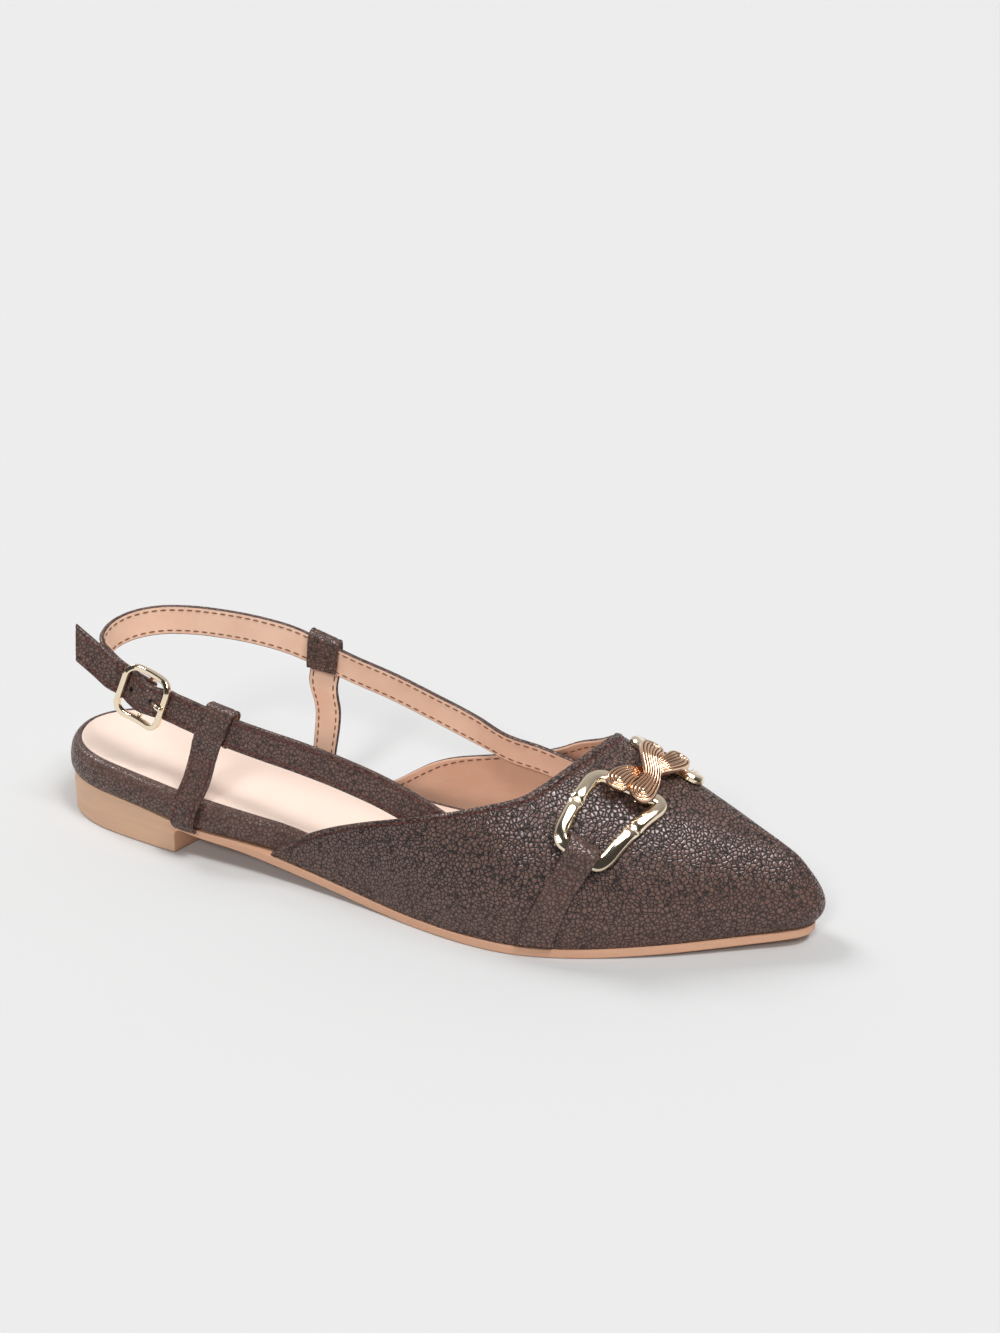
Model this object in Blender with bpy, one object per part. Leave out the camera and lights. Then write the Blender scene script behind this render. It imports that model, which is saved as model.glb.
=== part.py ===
"""Pointed-toe slingback flat with a chain ornament, one right shoe, built in millimetres and scaled to metres.

Design frame: x runs from the back of the heel to the toe, y towards the inner (medial) side, z up from the floor.
"""
import math

import bmesh
import bpy
import numpy as np

MM = 0.001
SOLE_LENGTH = 262.0
GAP = 0.3
WALL = 1.8
STRAP_WIDTH = 10.4
STRAP_THICK = 1.6
TAB_WIDTH = 11.0
TAB_FOOT_WIDTH = 8.4
TAB_THICK = 1.4
LATERAL, MEDIAL = 0, 1

# Edge of the sole seen from above: x, lateral y, medial y
SOLE_EDGE = (
    (0.0, 0.0, 0.0),
    (5.5, -15.6, 13.5),
    (11.0, -20.4, 18.0),
    (21.0, -25.0, 22.3),
    (31.0, -27.2, 24.0),
    (42.0, -28.7, 24.8),
    (54.0, -29.8, 24.8),
    (70.0, -30.6, 23.6),
    (90.0, -31.4, 21.6),
    (110.0, -33.2, 21.8),
    (130.0, -36.2, 24.8),
    (150.0, -40.2, 30.0),
    (165.0, -42.2, 34.0),
    (180.0, -42.0, 36.2),
    (195.0, -38.0, 36.2),
    (210.0, -31.2, 33.4),
    (224.0, -23.6, 28.8),
    (238.0, -14.5, 21.8),
    (248.0, -7.6, 16.2),
    (256.0, -2.2, 12.7),
    (260.0, 1.2, 10.8),
    (262.0, 6.3, 6.3),
)

# Side view of the bottom: x, underside of the sole, top of the sole, top of the insole
PROFILE = (
    (0.0, 9.6, 14.6, 25.8),
    (32.0, 9.4, 13.9, 24.0),
    (48.0, 9.2, 12.7, 22.4),
    (58.0, 8.8, 11.6, 21.4),
    (68.0, 7.6, 10.5, 20.6),
    (80.0, 6.6, 9.6, 19.4),
    (90.0, 5.3, 8.3, 18.2),
    (100.0, 4.0, 7.0, 16.9),
    (118.0, 1.9, 4.9, 14.0),
    (134.0, 0.4, 3.4, 11.5),
    (146.0, 0.0, 3.0, 10.0),
    (170.0, 0.0, 3.0, 8.6),
    (204.0, 0.0, 3.0, 8.4),
    (224.0, 1.0, 4.0, 9.3),
    (238.0, 1.8, 4.8, 10.0),
    (250.0, 2.5, 5.5, 10.7),
    (262.0, 3.4, 6.4, 11.4),
)
UNDERSIDE, SOLE_TOP, INSOLE_TOP = 1, 2, 3

# Leather-covered rim round the insole: x, how far it stands out from the sole's edge, width of its top
RIM = (
    (0.0, 0.7, 3.8),
    (20.0, 1.1, 4.2),
    (45.0, 1.2, 4.9),
    (65.0, 0.8, 4.5),
    (84.0, -1.2, 3.7),
    (94.0, -3.0, 3.2),
    (110.0, -3.4, 3.2),
    (262.0, -3.4, 3.2),
)

# Ridge of the upper's full arch: x of the side wall's foot, x, y and z of the ridge
SPINE = (
    (88.0, 88.0, -1.0, 87.0),
    (120.0, 120.0, 1.0, 81.0),
    (150.0, 150.0, 3.0, 72.6),
    (175.0, 175.0, 5.0, 63.2),
    (195.0, 195.0, 6.3, 53.9),
    (210.0, 209.2, 6.6, 48.0),
    (225.0, 222.4, 6.6, 42.8),
    (240.0, 235.4, 6.5, 37.2),
    (252.0, 246.6, 6.4, 32.2),
    (262.0, 252.8, 6.3, 29.3),
)

# Top line of the upper: turn of the arch in degrees from the lateral foot, x where the leather begins
TOPLINE = (
    (0.0, 92.5),
    (3.8, 100.2),
    (9.4, 112.3),
    (15.9, 127.7),
    (22.2, 142.7),
    (28.9, 156.4),
    (36.5, 168.7),
    (46.1, 180.1),
    (54.0, 184.8),
    (63.8, 188.5),
    (75.9, 191.5),
    (85.6, 193.0),
    (95.8, 193.8),
    (108.0, 192.4),
    (124.5, 187.6),
    (134.1, 181.7),
    (141.6, 173.7),
    (149.0, 164.7),
    (153.4, 155.8),
    (157.2, 142.5),
    (159.9, 132.5),
    (162.7, 125.6),
    (166.8, 118.5),
    (171.4, 111.3),
    (176.0, 103.0),
    (180.0, 94.5),
)
ARCH_POWER = (2.35, 1.9)
TOE_POWER = 2.5
BULGE_SIDE = 1.2
BULGE_TOE = 3.4


def follow(rows, column, at):
    """Read one column of a table along a smooth curve through its rows."""
    keys = np.array([row[0] for row in rows])
    values = np.array([row[column] for row in rows])
    slopes = np.gradient(values, keys)
    at = np.clip(np.asarray(at, float), keys[0], keys[-1])
    i = np.clip(np.searchsorted(keys, at) - 1, 0, len(keys) - 2)
    span = keys[i + 1] - keys[i]
    t = (at - keys[i]) / span
    start = values[i] * (1 + 2 * t) * (1 - t) ** 2 + slopes[i] * span * t * (1 - t) ** 2
    return start + values[i + 1] * t * t * (3 - 2 * t) - slopes[i + 1] * span * t * t * (1 - t)


def unit(v):
    v = np.asarray(v, float)
    return v / np.linalg.norm(v, axis=-1, keepdims=True)


def station(x):
    """Turn a length along the foot into the lofting parameter, which rounds both ends."""
    return math.acos(1 - 2 * x / SOLE_LENGTH) / math.pi


def length_at(u):
    return SOLE_LENGTH * (1 - np.cos(np.pi * np.asarray(u, float))) / 2


EDGE_ROWS = tuple((station(x), lateral, medial) for x, lateral, medial in SOLE_EDGE)


def edge(u, side, out=0.0):
    """Point of the sole's edge at u on one side, moved outwards by a distance in plan."""
    step = 0.002
    lo = max(u - step, 0.0)
    hi = min(u + step, 1.0)
    run = length_at(hi) - length_at(lo)
    rise = follow(EDGE_ROWS, 1 + side, hi) - follow(EDGE_ROWS, 1 + side, lo)
    size = math.hypot(run, rise)
    sign = 1.0 if side == LATERAL else -1.0
    x = length_at(u) + sign * out * rise / size
    y = follow(EDGE_ROWS, 1 + side, u) - sign * out * run / size
    return np.array([x, y])


def spine(u):
    foot = length_at(u)
    return np.array([follow(SPINE, 1, foot), follow(SPINE, 2, foot), follow(SPINE, 3, foot)])


def spine_slope(u):
    behind, ahead = spine(max(u - 0.03, 0.0)), spine(min(u, 1.0))
    return (ahead[2] - behind[2]) / (ahead[0] - behind[0])


def upper_point(u, turn):
    """Outer face of the upper at station u, turned from the lateral foot (0) over the ridge (90) to the medial (180)."""
    side = LATERAL if turn <= 90.0 else MEDIAL
    psi = math.radians(turn if turn <= 90.0 else 180.0 - turn)
    foot = edge(u, side, -0.5)
    ridge = spine(u)
    base = float(follow(PROFILE, SOLE_TOP, foot[0])) + GAP
    toe = max(0.0, (length_at(u) - 215.0) / (SOLE_LENGTH - 215.0))
    power = ARCH_POWER[side] + (TOE_POWER - ARCH_POWER[side]) * toe ** 2
    across = 1.0 - max(math.cos(psi), 0.0) ** (2 / power)
    rise = math.sin(psi) ** (2 / power)
    swell = (BULGE_SIDE + (BULGE_TOE - BULGE_SIDE) * toe) * 6.75 * rise * (1 - rise) ** 2
    wall = edge(u, side, -0.5 + swell)
    plan = wall + (ridge[:2] - foot) * across
    fall = max(-0.62, spine_slope(u)) * (foot[0] - ridge[0]) * (1 - across)
    return np.array([plan[0], plan[1], base + (ridge[2] + fall - base) * rise])


def upper_normal(u, turn):
    du, dt = 0.004, 0.8
    u0, u1 = max(u - du, 0.0), min(u + du, 0.995)
    along = upper_point(u1, turn) - upper_point(u0, turn)
    over = upper_point(u, min(turn + dt, 180.0)) - upper_point(u, max(turn - dt, 0.0))
    return unit(np.cross(along, over))


def upper_offset(u, turn, out):
    return upper_point(u, turn) + upper_normal(u, turn) * out


def wall_y(x, z, side, inward):
    """y on the side wall of the upper at a length and height, moved towards the foot by a distance."""
    u = station(x)
    lo, hi = (0.0, 90.0) if side == LATERAL else (180.0, 90.0)
    for _ in range(40):
        mid = (lo + hi) / 2
        if upper_point(u, mid)[2] < z:
            lo = mid
        else:
            hi = mid
    turn = (lo + hi) / 2
    return upper_offset(u, turn, -inward)[1]


# Lateral sling strap, front to tail. Seat inside the upper: x, z. Free run: x, y, z of the middle
LATERAL_SEAT = (
    (170.0, 29.0),
    (158.0, 33.2),
    (147.0, 36.6),
)
LATERAL_RUN = (
    (134.0, -31.2, 39.4),
    (119.0, -30.4, 42.4),
    (104.0, -29.6, 44.4),
    (88.0, -27.8, 45.3),
    (70.0, -25.2, 46.4),
    (59.6, -24.3, 48.2),
    (54.4, -23.9, 49.1),
)
LATERAL_TAIL = (
    (30.4, -24.5, 57.6),
    (26.0, -24.9, 60.9),
    (17.9, -25.4, 66.5),
)

# Heel strap, from its seat inside the medial wing round the heel to the buckle
HEEL_SEAT = (
    (172.0, 27.5),
    (161.0, 31.5),
    (150.0, 35.0),
)
HEEL_RUN = (
    (138.0, 24.6, 38.8),
    (124.0, 24.2, 43.6),
    (107.0, 24.0, 48.8),
    (93.0, 23.4, 52.4),
    (82.8, 22.5, 55.8),
    (72.0, 20.6, 59.8),
    (61.0, 18.6, 62.0),
    (47.0, 16.6, 63.0),
    (34.0, 14.2, 63.0),
    (26.4, 11.0, 62.8),
    (21.2, 6.5, 62.4),
    (18.0, 0.5, 61.8),
    (16.9, -6.0, 60.6),
    (18.6, -12.4, 58.8),
)

# Buckle: middle, slope of the strap there, lean of its top towards the foot
BUCKLE_MIDDLE = (41.8, -23.6, 51.1)
BUCKLE_SLOPE = -0.32
BUCKLE_LEAN = 0.18
BUCKLE_LONG = 18.2
BUCKLE_TALL = 19.0
BUCKLE_CORNER = 3.8
FRAME_RADIUS = 1.0
FRAME_OUT = 1.3
BAR_RADIUS = 0.8
BAR_OUT = -1.9
PRONG_RADIUS = 0.55
FOLD_THICK = 0.9

# Weave of the lateral strap through the buckle: along the strap, up, out from the frame's plane
WEAVE = (
    (8.1, 0.9, -1.0),
    (4.2, 0.3, 0.15),
    (0.0, 0.1, 1.25),
    (-4.2, 0.3, 0.15),
    (-8.1, 0.9, -1.0),
)
PRONG_SLOT = (1.0, 5.3)

# End of the heel strap folded round the buckle's bar: along, out
FOLD_RUN = (
    (-17.0, -6.2),
    (-12.0, -4.6),
    (-7.0, -3.6),
)
FOLD_NEAR = (
    (-4.8, -3.45),
    (-2.7, -3.4),
    (-1.0, -3.4),
)
FOLD_BACK = (
    (-1.0, -0.45),
    (-2.7, -1.2),
    (-4.4, -1.85),
)

# Keeper tabs, upwards: foot at the seam between rim and sole, bend, low flank, high flank
TABS = {
    "keeper_tab_lateral": ((60.6, -32.0, 10.9), (60.6, -34.0, 13.4), (61.7, -34.2, 18.6), (65.3, -30.8, 29.6)),
    "keeper_tab_medial": ((78.2, 25.2, 10.2), (78.4, 26.9, 13.0), (79.0, 27.3, 18.6), (81.4, 26.2, 34.0)),
}

# Direction of each tab where it is looped round its strap
TAB_LEAN = {
    "keeper_tab_lateral": (0.38, 0.2, 1.0),
    "keeper_tab_medial": (0.14, -0.07, 1.0),
}

# Tab round the strap: out from the strap's middle, up along its width
TAB_LOOP = (
    (1.0, -9.6),
    (1.6, -7.4),
    (2.0, -4.8),
    (2.0, 0.0),
    (2.0, 5.0),
    (1.55, 6.5),
    (0.6, 7.2),
    (-0.6, 7.2),
    (-1.55, 6.5),
    (-2.0, 5.0),
    (-2.0, 0.0),
    (-2.0, -4.8),
    (-1.6, -7.0),
    (-0.9, -8.8),
)

# Leather strap that holds the chain: way up it in degrees of turn, x of its rear edge, x of its front edge.
# The medial strap sits further forward
CHAIN_FORWARD = (0.0, 4.2)
CHAIN_STRAP = (
    (1.0, 184.6, 195.0),
    (10.0, 188.4, 197.4),
    (20.0, 191.8, 200.0),
    (30.0, 194.5, 202.5),
    (38.0, 195.9, 204.0),
)

# Open links, lateral then medial: turn and x of rear outer, front outer, front inner and rear inner corner
LINK_CORNERS = (
    ((37.2, 192.6), (30.7, 205.8), (68.2, 218.6), (69.0, 196.6)),
    ((135.0, 196.6), (140.5, 211.0), (97.5, 223.4), (98.0, 199.8)),
)
LINK_LIFT = (2.2, 0.4)
LINK_SECTION = (
    (-2.25, 0.0),
    (2.25, 0.0),
    (2.25, 1.1),
    (1.4, 2.2),
    (-1.4, 2.2),
    (-2.25, 1.1),
)

# Knot of two bands crossed over each other. Middle: x, turn. Bands: across to the medial side, forward, height
KNOT_MIDDLE = (208.8, 80.0)
KNOT_BANDS = {
    "knot_band_under": (
        (-14.6, -6.1, 2.7),
        (-12.2, -5.9, 3.5),
        (-9.5, -5.3, 3.9),
        (-6.0, -3.8, 3.6),
        (-3.0, -1.8, 2.4),
        (0.0, 0.2, 1.9),
        (3.0, 2.3, 2.3),
        (6.0, 4.6, 3.5),
        (9.0, 6.3, 3.8),
        (11.4, 7.0, 3.3),
        (13.0, 7.3, 2.5),
    ),
    "knot_band_over": (
        (-14.6, 1.5, 2.8),
        (-12.4, 1.9, 3.7),
        (-9.4, 2.5, 4.3),
        (-6.0, 2.7, 5.1),
        (-3.0, 1.9, 5.5),
        (0.0, 0.3, 5.5),
        (3.0, -1.2, 5.4),
        (6.0, -1.9, 4.8),
        (8.5, -2.0, 3.9),
        (10.5, -1.9, 3.2),
        (12.0, -1.8, 2.3),
    ),
}
KNOT_LOBE = 3.75
KNOT_WAIST = 3.0
KNOT_HALF_HIGH = 1.5
KNOT_ROUND = 2.6


def through(points, count, closed=False):
    """Evenly spaced points along a smooth curve; columns after the third ride along with the first three."""
    points = np.asarray(points, float)
    if closed:
        points = np.concatenate([points[-3:], points, points[:4]])
    steps = np.linalg.norm(np.diff(points[:, :3], axis=0), axis=1)
    keys = np.concatenate([[0.0], np.cumsum(steps)])
    rows = [(key, *point) for key, point in zip(keys, points)]
    if closed:
        at = np.linspace(keys[3], keys[-4], count + 1)[:-1]
    else:
        at = np.linspace(0.0, keys[-1], count)
    return np.stack([follow(rows, 1 + axis, at) for axis in range(points.shape[1])], axis=1)


def tangents(path, closed=False):
    if closed:
        return unit(np.roll(path, -1, axis=0) - np.roll(path, 1, axis=0))
    return unit(np.gradient(path, axis=0))


def square_to(direction, tangent):
    """The given direction made square to a tangent."""
    direction = np.asarray(direction, float)
    direction = np.broadcast_to(direction, tangent.shape)
    inline = np.sum(direction * tangent, axis=1, keepdims=True)
    return unit(direction - inline * tangent)


def finish(name, points, faces, colour, metallic=0.0, rough=0.6):
    """Turn points in millimetres into one closed object with its own material."""
    mesh = bpy.data.meshes.new(name)
    mesh.from_pydata([tuple(float(c) * MM for c in point) for point in points], [], faces)
    work = bmesh.new()
    work.from_mesh(mesh)
    bmesh.ops.remove_doubles(work, verts=work.verts, dist=0.000005)
    bmesh.ops.recalc_face_normals(work, faces=work.faces)
    bmesh.ops.triangulate(work, faces=work.faces)
    work.to_mesh(mesh)
    work.free()
    obj = bpy.data.objects.new(name, mesh)
    bpy.context.collection.objects.link(obj)
    material = bpy.data.materials.new(name)
    material.use_nodes = True
    shader = material.node_tree.nodes["Principled BSDF"]
    shader.inputs["Base Color"].default_value = (*colour, 1.0)
    shader.inputs["Metallic"].default_value = metallic
    shader.inputs["Roughness"].default_value = rough
    mesh.materials.append(material)
    return obj


def loft(rings):
    """Skin closed rings of equal count one after another and cap both ends."""
    count = len(rings[0])
    points = np.concatenate(rings)
    faces = []
    for i in range(len(rings) - 1):
        for j in range(count):
            k = (j + 1) % count
            faces.append((i * count + j, i * count + k, (i + 1) * count + k, (i + 1) * count + j))
    last = (len(rings) - 1) * count
    faces.append(tuple(range(count)))
    faces.append(tuple(last + j for j in range(count)))
    return points, faces


def panel(top, under, keep=None):
    """Solid sheet between two grids of points; cells that keep refuses are left open."""
    rows, columns = top.shape[:2]
    points = np.concatenate([top.reshape(-1, 3), under.reshape(-1, 3)])
    below = rows * columns

    def kept(i, j):
        inside = 0 <= i < rows - 1 and 0 <= j < columns - 1
        return inside and (keep is None or keep(i, j))

    def rim(faces, a, b):
        faces.append((a, b, b + below, a + below))

    faces = []
    for i in range(rows - 1):
        for j in range(columns - 1):
            if not kept(i, j):
                continue
            a = i * columns + j
            b, c, d = a + columns, a + columns + 1, a + 1
            faces.append((a, b, c, d))
            faces.append((a + below, d + below, c + below, b + below))
            if not kept(i - 1, j):
                rim(faces, a, d)
            if not kept(i + 1, j):
                rim(faces, b, c)
            if not kept(i, j - 1):
                rim(faces, a, b)
            if not kept(i, j + 1):
                rim(faces, d, c)
    return points, faces


def ribbon(path, across, widths, thick, keep=None, end_skew=0.0, taper=1.0):
    """Strip of leather along a path, at the given positions across its width; the far end may be cut askew."""
    tangent = tangents(path)
    side = square_to(across, tangent)
    out = np.cross(tangent, side)
    half = np.broadcast_to(np.asarray(thick, float) / 2, (len(path),))[:, None, None]
    spread = np.broadcast_to(taper, (len(path),))[:, None] * np.asarray(widths)
    middle = path[:, None, :] + side[:, None, :] * spread[..., None]
    middle[-1] += tangent[-1][None, :] * (end_skew * np.asarray(widths) / max(widths))[:, None]
    lift = out[:, None, :] * half
    return panel(middle + lift, middle - lift, keep)


def tube(path, up, section, closed):
    """Sweep a section, given across and up, along a path."""
    tangent = tangents(path, closed)
    rise = square_to(up, tangent)
    side = np.cross(rise, tangent)
    rings = [p + np.array([side[i] * a + rise[i] * b for a, b in section]) for i, p in enumerate(path)]
    if not closed:
        return loft(rings)
    count = len(section)
    points = np.concatenate(rings)
    faces = []
    for i in range(len(rings)):
        n = (i + 1) % len(rings)
        for j in range(count):
            k = (j + 1) % count
            faces.append((i * count + j, i * count + k, n * count + k, n * count + j))
    return points, faces


def round_section(half_wide, half_high, count):
    turns = [2 * math.pi * k / count for k in range(count)]
    return [(half_wide * math.cos(t), half_high * math.sin(t)) for t in turns]


# Shared frame of the buckle
BUCKLE_ALONG = unit([1.0, -0.02, BUCKLE_SLOPE])
BUCKLE_UP = square_to([0.0, BUCKLE_LEAN, 1.0], BUCKLE_ALONG[None, :])[0]
BUCKLE_OUT = np.cross(BUCKLE_ALONG, BUCKLE_UP)


def at_buckle(along, up, out):
    return np.array(BUCKLE_MIDDLE) + BUCKLE_ALONG * along + BUCKLE_UP * up + BUCKLE_OUT * out


def seated(rows, side):
    """Middle and lean of a strap lying against the inside of the upper."""
    inward = WALL + GAP + STRAP_THICK / 2 + 0.6
    middles = []
    leans = []
    for x, z in rows:
        high = np.array([x, wall_y(x, z + 4.8, side, inward), z + 4.8])
        low = np.array([x, wall_y(x, z - 4.8, side, inward), z - 4.8])
        middles.append((high + low) / 2)
        leans.append(unit(high - low))
    return middles, leans


def sole():
    breast = 59.4
    stations = [0.028, 0.06, 0.092, 0.125, 0.16, 0.195, 0.23, 0.265, station(breast - 0.6)]
    under = [0.0] * 9
    for x, z in ((breast, 5.6), (breast + 0.8, 7.7), (breast + 2.6, 8.6)):
        stations.append(station(x))
        under.append(z)
    for u in np.linspace(station(66.0), 0.992, 34):
        stations.append(u)
        under.append(max(0.0, float(follow(PROFILE, UNDERSIDE, length_at(u)))))
    rings = []
    for u, low in zip(stations, under):
        top = float(follow(PROFILE, SOLE_TOP, length_at(u)))
        outer = [edge(u, LATERAL), edge(u, MEDIAL)]
        inner = [edge(u, LATERAL, -0.7), edge(u, MEDIAL, -0.7)]
        middle = (inner[0] + inner[1]) / 2
        ring = [
            (*outer[0], top),
            (*outer[0], low + 0.6),
            (*inner[0], low),
            (*middle, low),
            (*inner[1], low),
            (*outer[1], low + 0.6),
            (*outer[1], top),
            (*middle, top),
        ]
        ring = np.array(ring)
        near = math.exp(-((length_at(u) - breast) / 15.0) ** 2)
        y = ring[:, 1] + 3.0
        ring[:, 0] += near * (0.125 * y - 0.002 * y * y)
        rings.append(ring)
    points, faces = loft(rings)
    return finish("sole", points, faces, (0.52, 0.32, 0.19))


# Rounded side of the leather-covered rim: out from its edge, share of the height
RIM_SECTION = (
    (-1.2, 0.0),
    (-0.3, 0.10),
    (0.0, 0.34),
    (-0.25, 0.60),
    (-1.0, 0.83),
    (-2.0, 0.96),
)
RECESS_DEEP = 1.3


def footbed():
    rings = []
    for u in np.concatenate([np.linspace(0.03, 0.30, 10), np.linspace(0.325, 0.9, 22)]):
        x = length_at(u)
        low = float(follow(PROFILE, SOLE_TOP, x)) + GAP
        high = float(follow(PROFILE, INSOLE_TOP, x))
        reach = float(follow(RIM, 1, x))
        width = float(follow(RIM, 2, x))
        section = [(out, low + (high - low) * share) for out, share in RIM_SECTION]
        section += [(0.3 - width, high), (-width, high - RECESS_DEEP)]
        ring = [(*edge(u, LATERAL, reach + out), z) for out, z in section]
        ring += [(*edge(u, MEDIAL, reach + out), z) for out, z in reversed(section)]
        rings.append(np.array(ring))
    points, faces = loft(rings)
    return finish("footbed", points, faces, (0.062, 0.041, 0.036))


def insole():
    rings = []
    for u in np.concatenate([np.linspace(0.045, 0.30, 10), np.linspace(0.325, 0.895, 20)]):
        x = length_at(u)
        high = float(follow(PROFILE, INSOLE_TOP, x))
        reach = float(follow(RIM, 1, x)) - float(follow(RIM, 2, x)) - GAP
        low = high - RECESS_DEEP + GAP
        ring = [
            (*edge(u, LATERAL, reach), low),
            (*edge(u, LATERAL, reach), high - 0.25),
            (*edge(u, LATERAL, reach - 0.5), high),
            (*edge(u, MEDIAL, reach - 0.5), high),
            (*edge(u, MEDIAL, reach), high - 0.25),
            (*edge(u, MEDIAL, reach), low),
        ]
        rings.append(np.array(ring))
    points, faces = loft(rings)
    return finish("insole", points, faces, (0.86, 0.70, 0.61))


def upper_grid(rows, turns):
    """Outer points of the upper from its top line to the toe, one column per turn."""
    grid = np.zeros((rows, len(turns), 3))
    for j, turn in enumerate(turns):
        start = station(float(follow(TOPLINE, 1, turn)))
        for i in range(rows):
            grid[i, j] = upper_point(start + (1.0 - start) * (i / (rows - 1)) ** 0.9, turn)
    return grid


def grid_normals(grid):
    """Normals of a grid whose last row closes on itself at the toe."""
    rows, columns = grid.shape[:2]
    total = np.zeros_like(grid)
    for i in range(rows - 1):
        for j in range(columns - 1):
            a, b, c, d = grid[i, j], grid[i + 1, j], grid[i + 1, j + 1], grid[i, j + 1]
            normal = np.cross(c - a, d - b)
            for r, k in ((i, j), (i + 1, j), (i + 1, j + 1), (i, j + 1)):
                total[r, k] += normal
    total[-1] = total[-1] + total[-1, ::-1]
    return unit(total)


def vamp():
    side = (0.0, 2.0, 4.5, 7.5, 11.0, 15.0, 19.5, 24.5, 30.0, 36.0, 43.0, 51.0, 60.0, 70.0, 80.0)
    turns = list(side) + [90.0] + [180.0 - turn for turn in reversed(side)]
    outer = upper_grid(23, turns)
    normal = grid_normals(outer)
    inner = outer - normal * WALL
    inner[:, 0, 2] = outer[:, 0, 2]
    inner[:, -1, 2] = outer[:, -1, 2]
    points, faces = closed_upper(outer, inner)
    return finish("vamp", points, faces, (0.062, 0.041, 0.036))


def closed_upper(outer, inner):
    """Faces of the hollow upper: both skins, the top line and the two feet; the toe row is shared."""
    rows, columns = outer.shape[:2]
    points = np.concatenate([outer.reshape(-1, 3), inner.reshape(-1, 3)])
    below = rows * columns

    def index(i, j):
        if i == rows - 1:
            j = min(j, columns - 1 - j)
        return i * columns + j

    def quad(faces, ids):
        kept = []
        for one in ids:
            if one not in kept:
                kept.append(one)
        if len(kept) > 2:
            faces.append(tuple(kept))

    faces = []
    for i in range(rows - 1):
        for j in range(columns - 1):
            cell = [index(i, j), index(i + 1, j), index(i + 1, j + 1), index(i, j + 1)]
            quad(faces, cell)
            quad(faces, [one + below for one in reversed(cell)])
    for j in range(columns - 1):
        a, b = index(0, j), index(0, j + 1)
        quad(faces, [a, b, b + below, a + below])
    for i in range(rows - 1):
        for j in (0, columns - 1):
            a, b = index(i, j), index(i + 1, j)
            quad(faces, [a, b, b + below, a + below])
    return points, faces


def strap_widths():
    half = STRAP_WIDTH / 2
    return [-half, -0.95, 0.95, half]


def sling_strap():
    middles, leans = seated(LATERAL_SEAT, LATERAL)
    rows = [np.array(row) for row in LATERAL_RUN]
    middles += rows
    leans += [np.array([0.0, 0.2, 1.0])] * len(rows)
    end = [at_buckle(*row) for row in WEAVE] + [np.array(row) for row in LATERAL_TAIL]
    middles += end
    leans += [BUCKLE_UP] * len(end)
    run = through(np.hstack([middles, leans]), 150)
    along = (run[:, :3] - np.array(BUCKLE_MIDDLE)) @ BUCKLE_ALONG
    near = np.linalg.norm(run[:, :3] - np.array(BUCKLE_MIDDLE), axis=1) < 12.0
    picked = [i for i in range(len(run)) if near[i] or i % 3 == 0 or i == len(run) - 1]
    free, leans, along, near = run[picked, :3], run[picked, 3:], along[picked], near[picked]

    def keep(i, j):
        middle = (along[i] + along[i + 1]) / 2
        return not (j == 1 and near[i] and PRONG_SLOT[0] < middle < PRONG_SLOT[1])

    points, faces = ribbon(free, leans, strap_widths(), STRAP_THICK, keep, 3.6)
    return finish("sling_strap_lateral", points, faces, (0.062, 0.041, 0.036))


def heel_strap():
    middles, leans = seated(HEEL_SEAT, MEDIAL)
    rows = [np.array(row) for row in HEEL_RUN]
    middles += rows
    leans += [np.array([0.0, -0.10, 1.0])] * 5 + [np.array([0.0, 0.0, 1.0])] * (len(rows) - 5)
    middles += [at_buckle(along, 0.0, out) for along, out in FOLD_RUN]
    leans += [BUCKLE_UP] * len(FOLD_RUN)
    run = through(np.hstack([middles, leans]), 58)
    path, lean = run[:, :3], run[:, 3:]
    radius = BAR_RADIUS + 0.25 + FOLD_THICK / 2
    bend = [math.radians(a) for a in (-60.0, -30.0, 0.0, 30.0, 60.0, 85.0)]
    end = [at_buckle(along, 0.0, out) for along, out in FOLD_NEAR]
    end += [at_buckle(radius * math.cos(a), 0.0, BAR_OUT + radius * math.sin(a)) for a in bend]
    end += [at_buckle(along, 0.0, out) for along, out in FOLD_BACK]
    free = np.concatenate([path, end])
    leans = np.concatenate([lean, np.broadcast_to(BUCKLE_UP, (len(end), 3))])
    count = len(free)
    first = len(path) + 1
    thick = np.full(count, STRAP_THICK)
    thinned = np.arange(count) - (len(path) - 5)
    thick = np.where(thinned > 0, np.maximum(FOLD_THICK, STRAP_THICK - 0.14 * thinned), thick)

    def keep(i, j):
        return not (j == 1 and first <= i <= count - 3)

    half = STRAP_WIDTH / 2
    points, faces = ribbon(free, leans, [-half, -1.5, 1.5, half], thick, keep)
    return finish("heel_strap", points, faces, (0.062, 0.041, 0.036))


def keeper_tab(name, strap_rows, index, side):
    flank = [np.array(row) for row in TABS[name]]
    middle = np.array(strap_rows[index])
    along = unit(np.array(strap_rows[index - 1]) - np.array(strap_rows[index + 1]))
    up = unit(TAB_LEAN[name])
    out = unit(np.cross(along, up))
    if side == MEDIAL:
        out = -out
    loop = [middle + out * a + up * b for a, b in TAB_LOOP]
    level = unit([1.0, 0.0, -0.12])
    rows = np.hstack([flank + loop, [level] * len(flank) + [along] * len(loop)])
    run = through(rows, 46)
    half = TAB_WIDTH / 2
    narrow = np.clip((middle[2] - run[:, 2]) / (middle[2] - flank[0][2]), 0.0, 1.0)
    taper = 1.0 - (1.0 - TAB_FOOT_WIDTH / TAB_WIDTH) * narrow
    points, faces = ribbon(run[:, :3], run[:, 3:], [-half, half], TAB_THICK, taper=taper)
    return finish(name, points, faces, (0.062, 0.041, 0.036))


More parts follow.
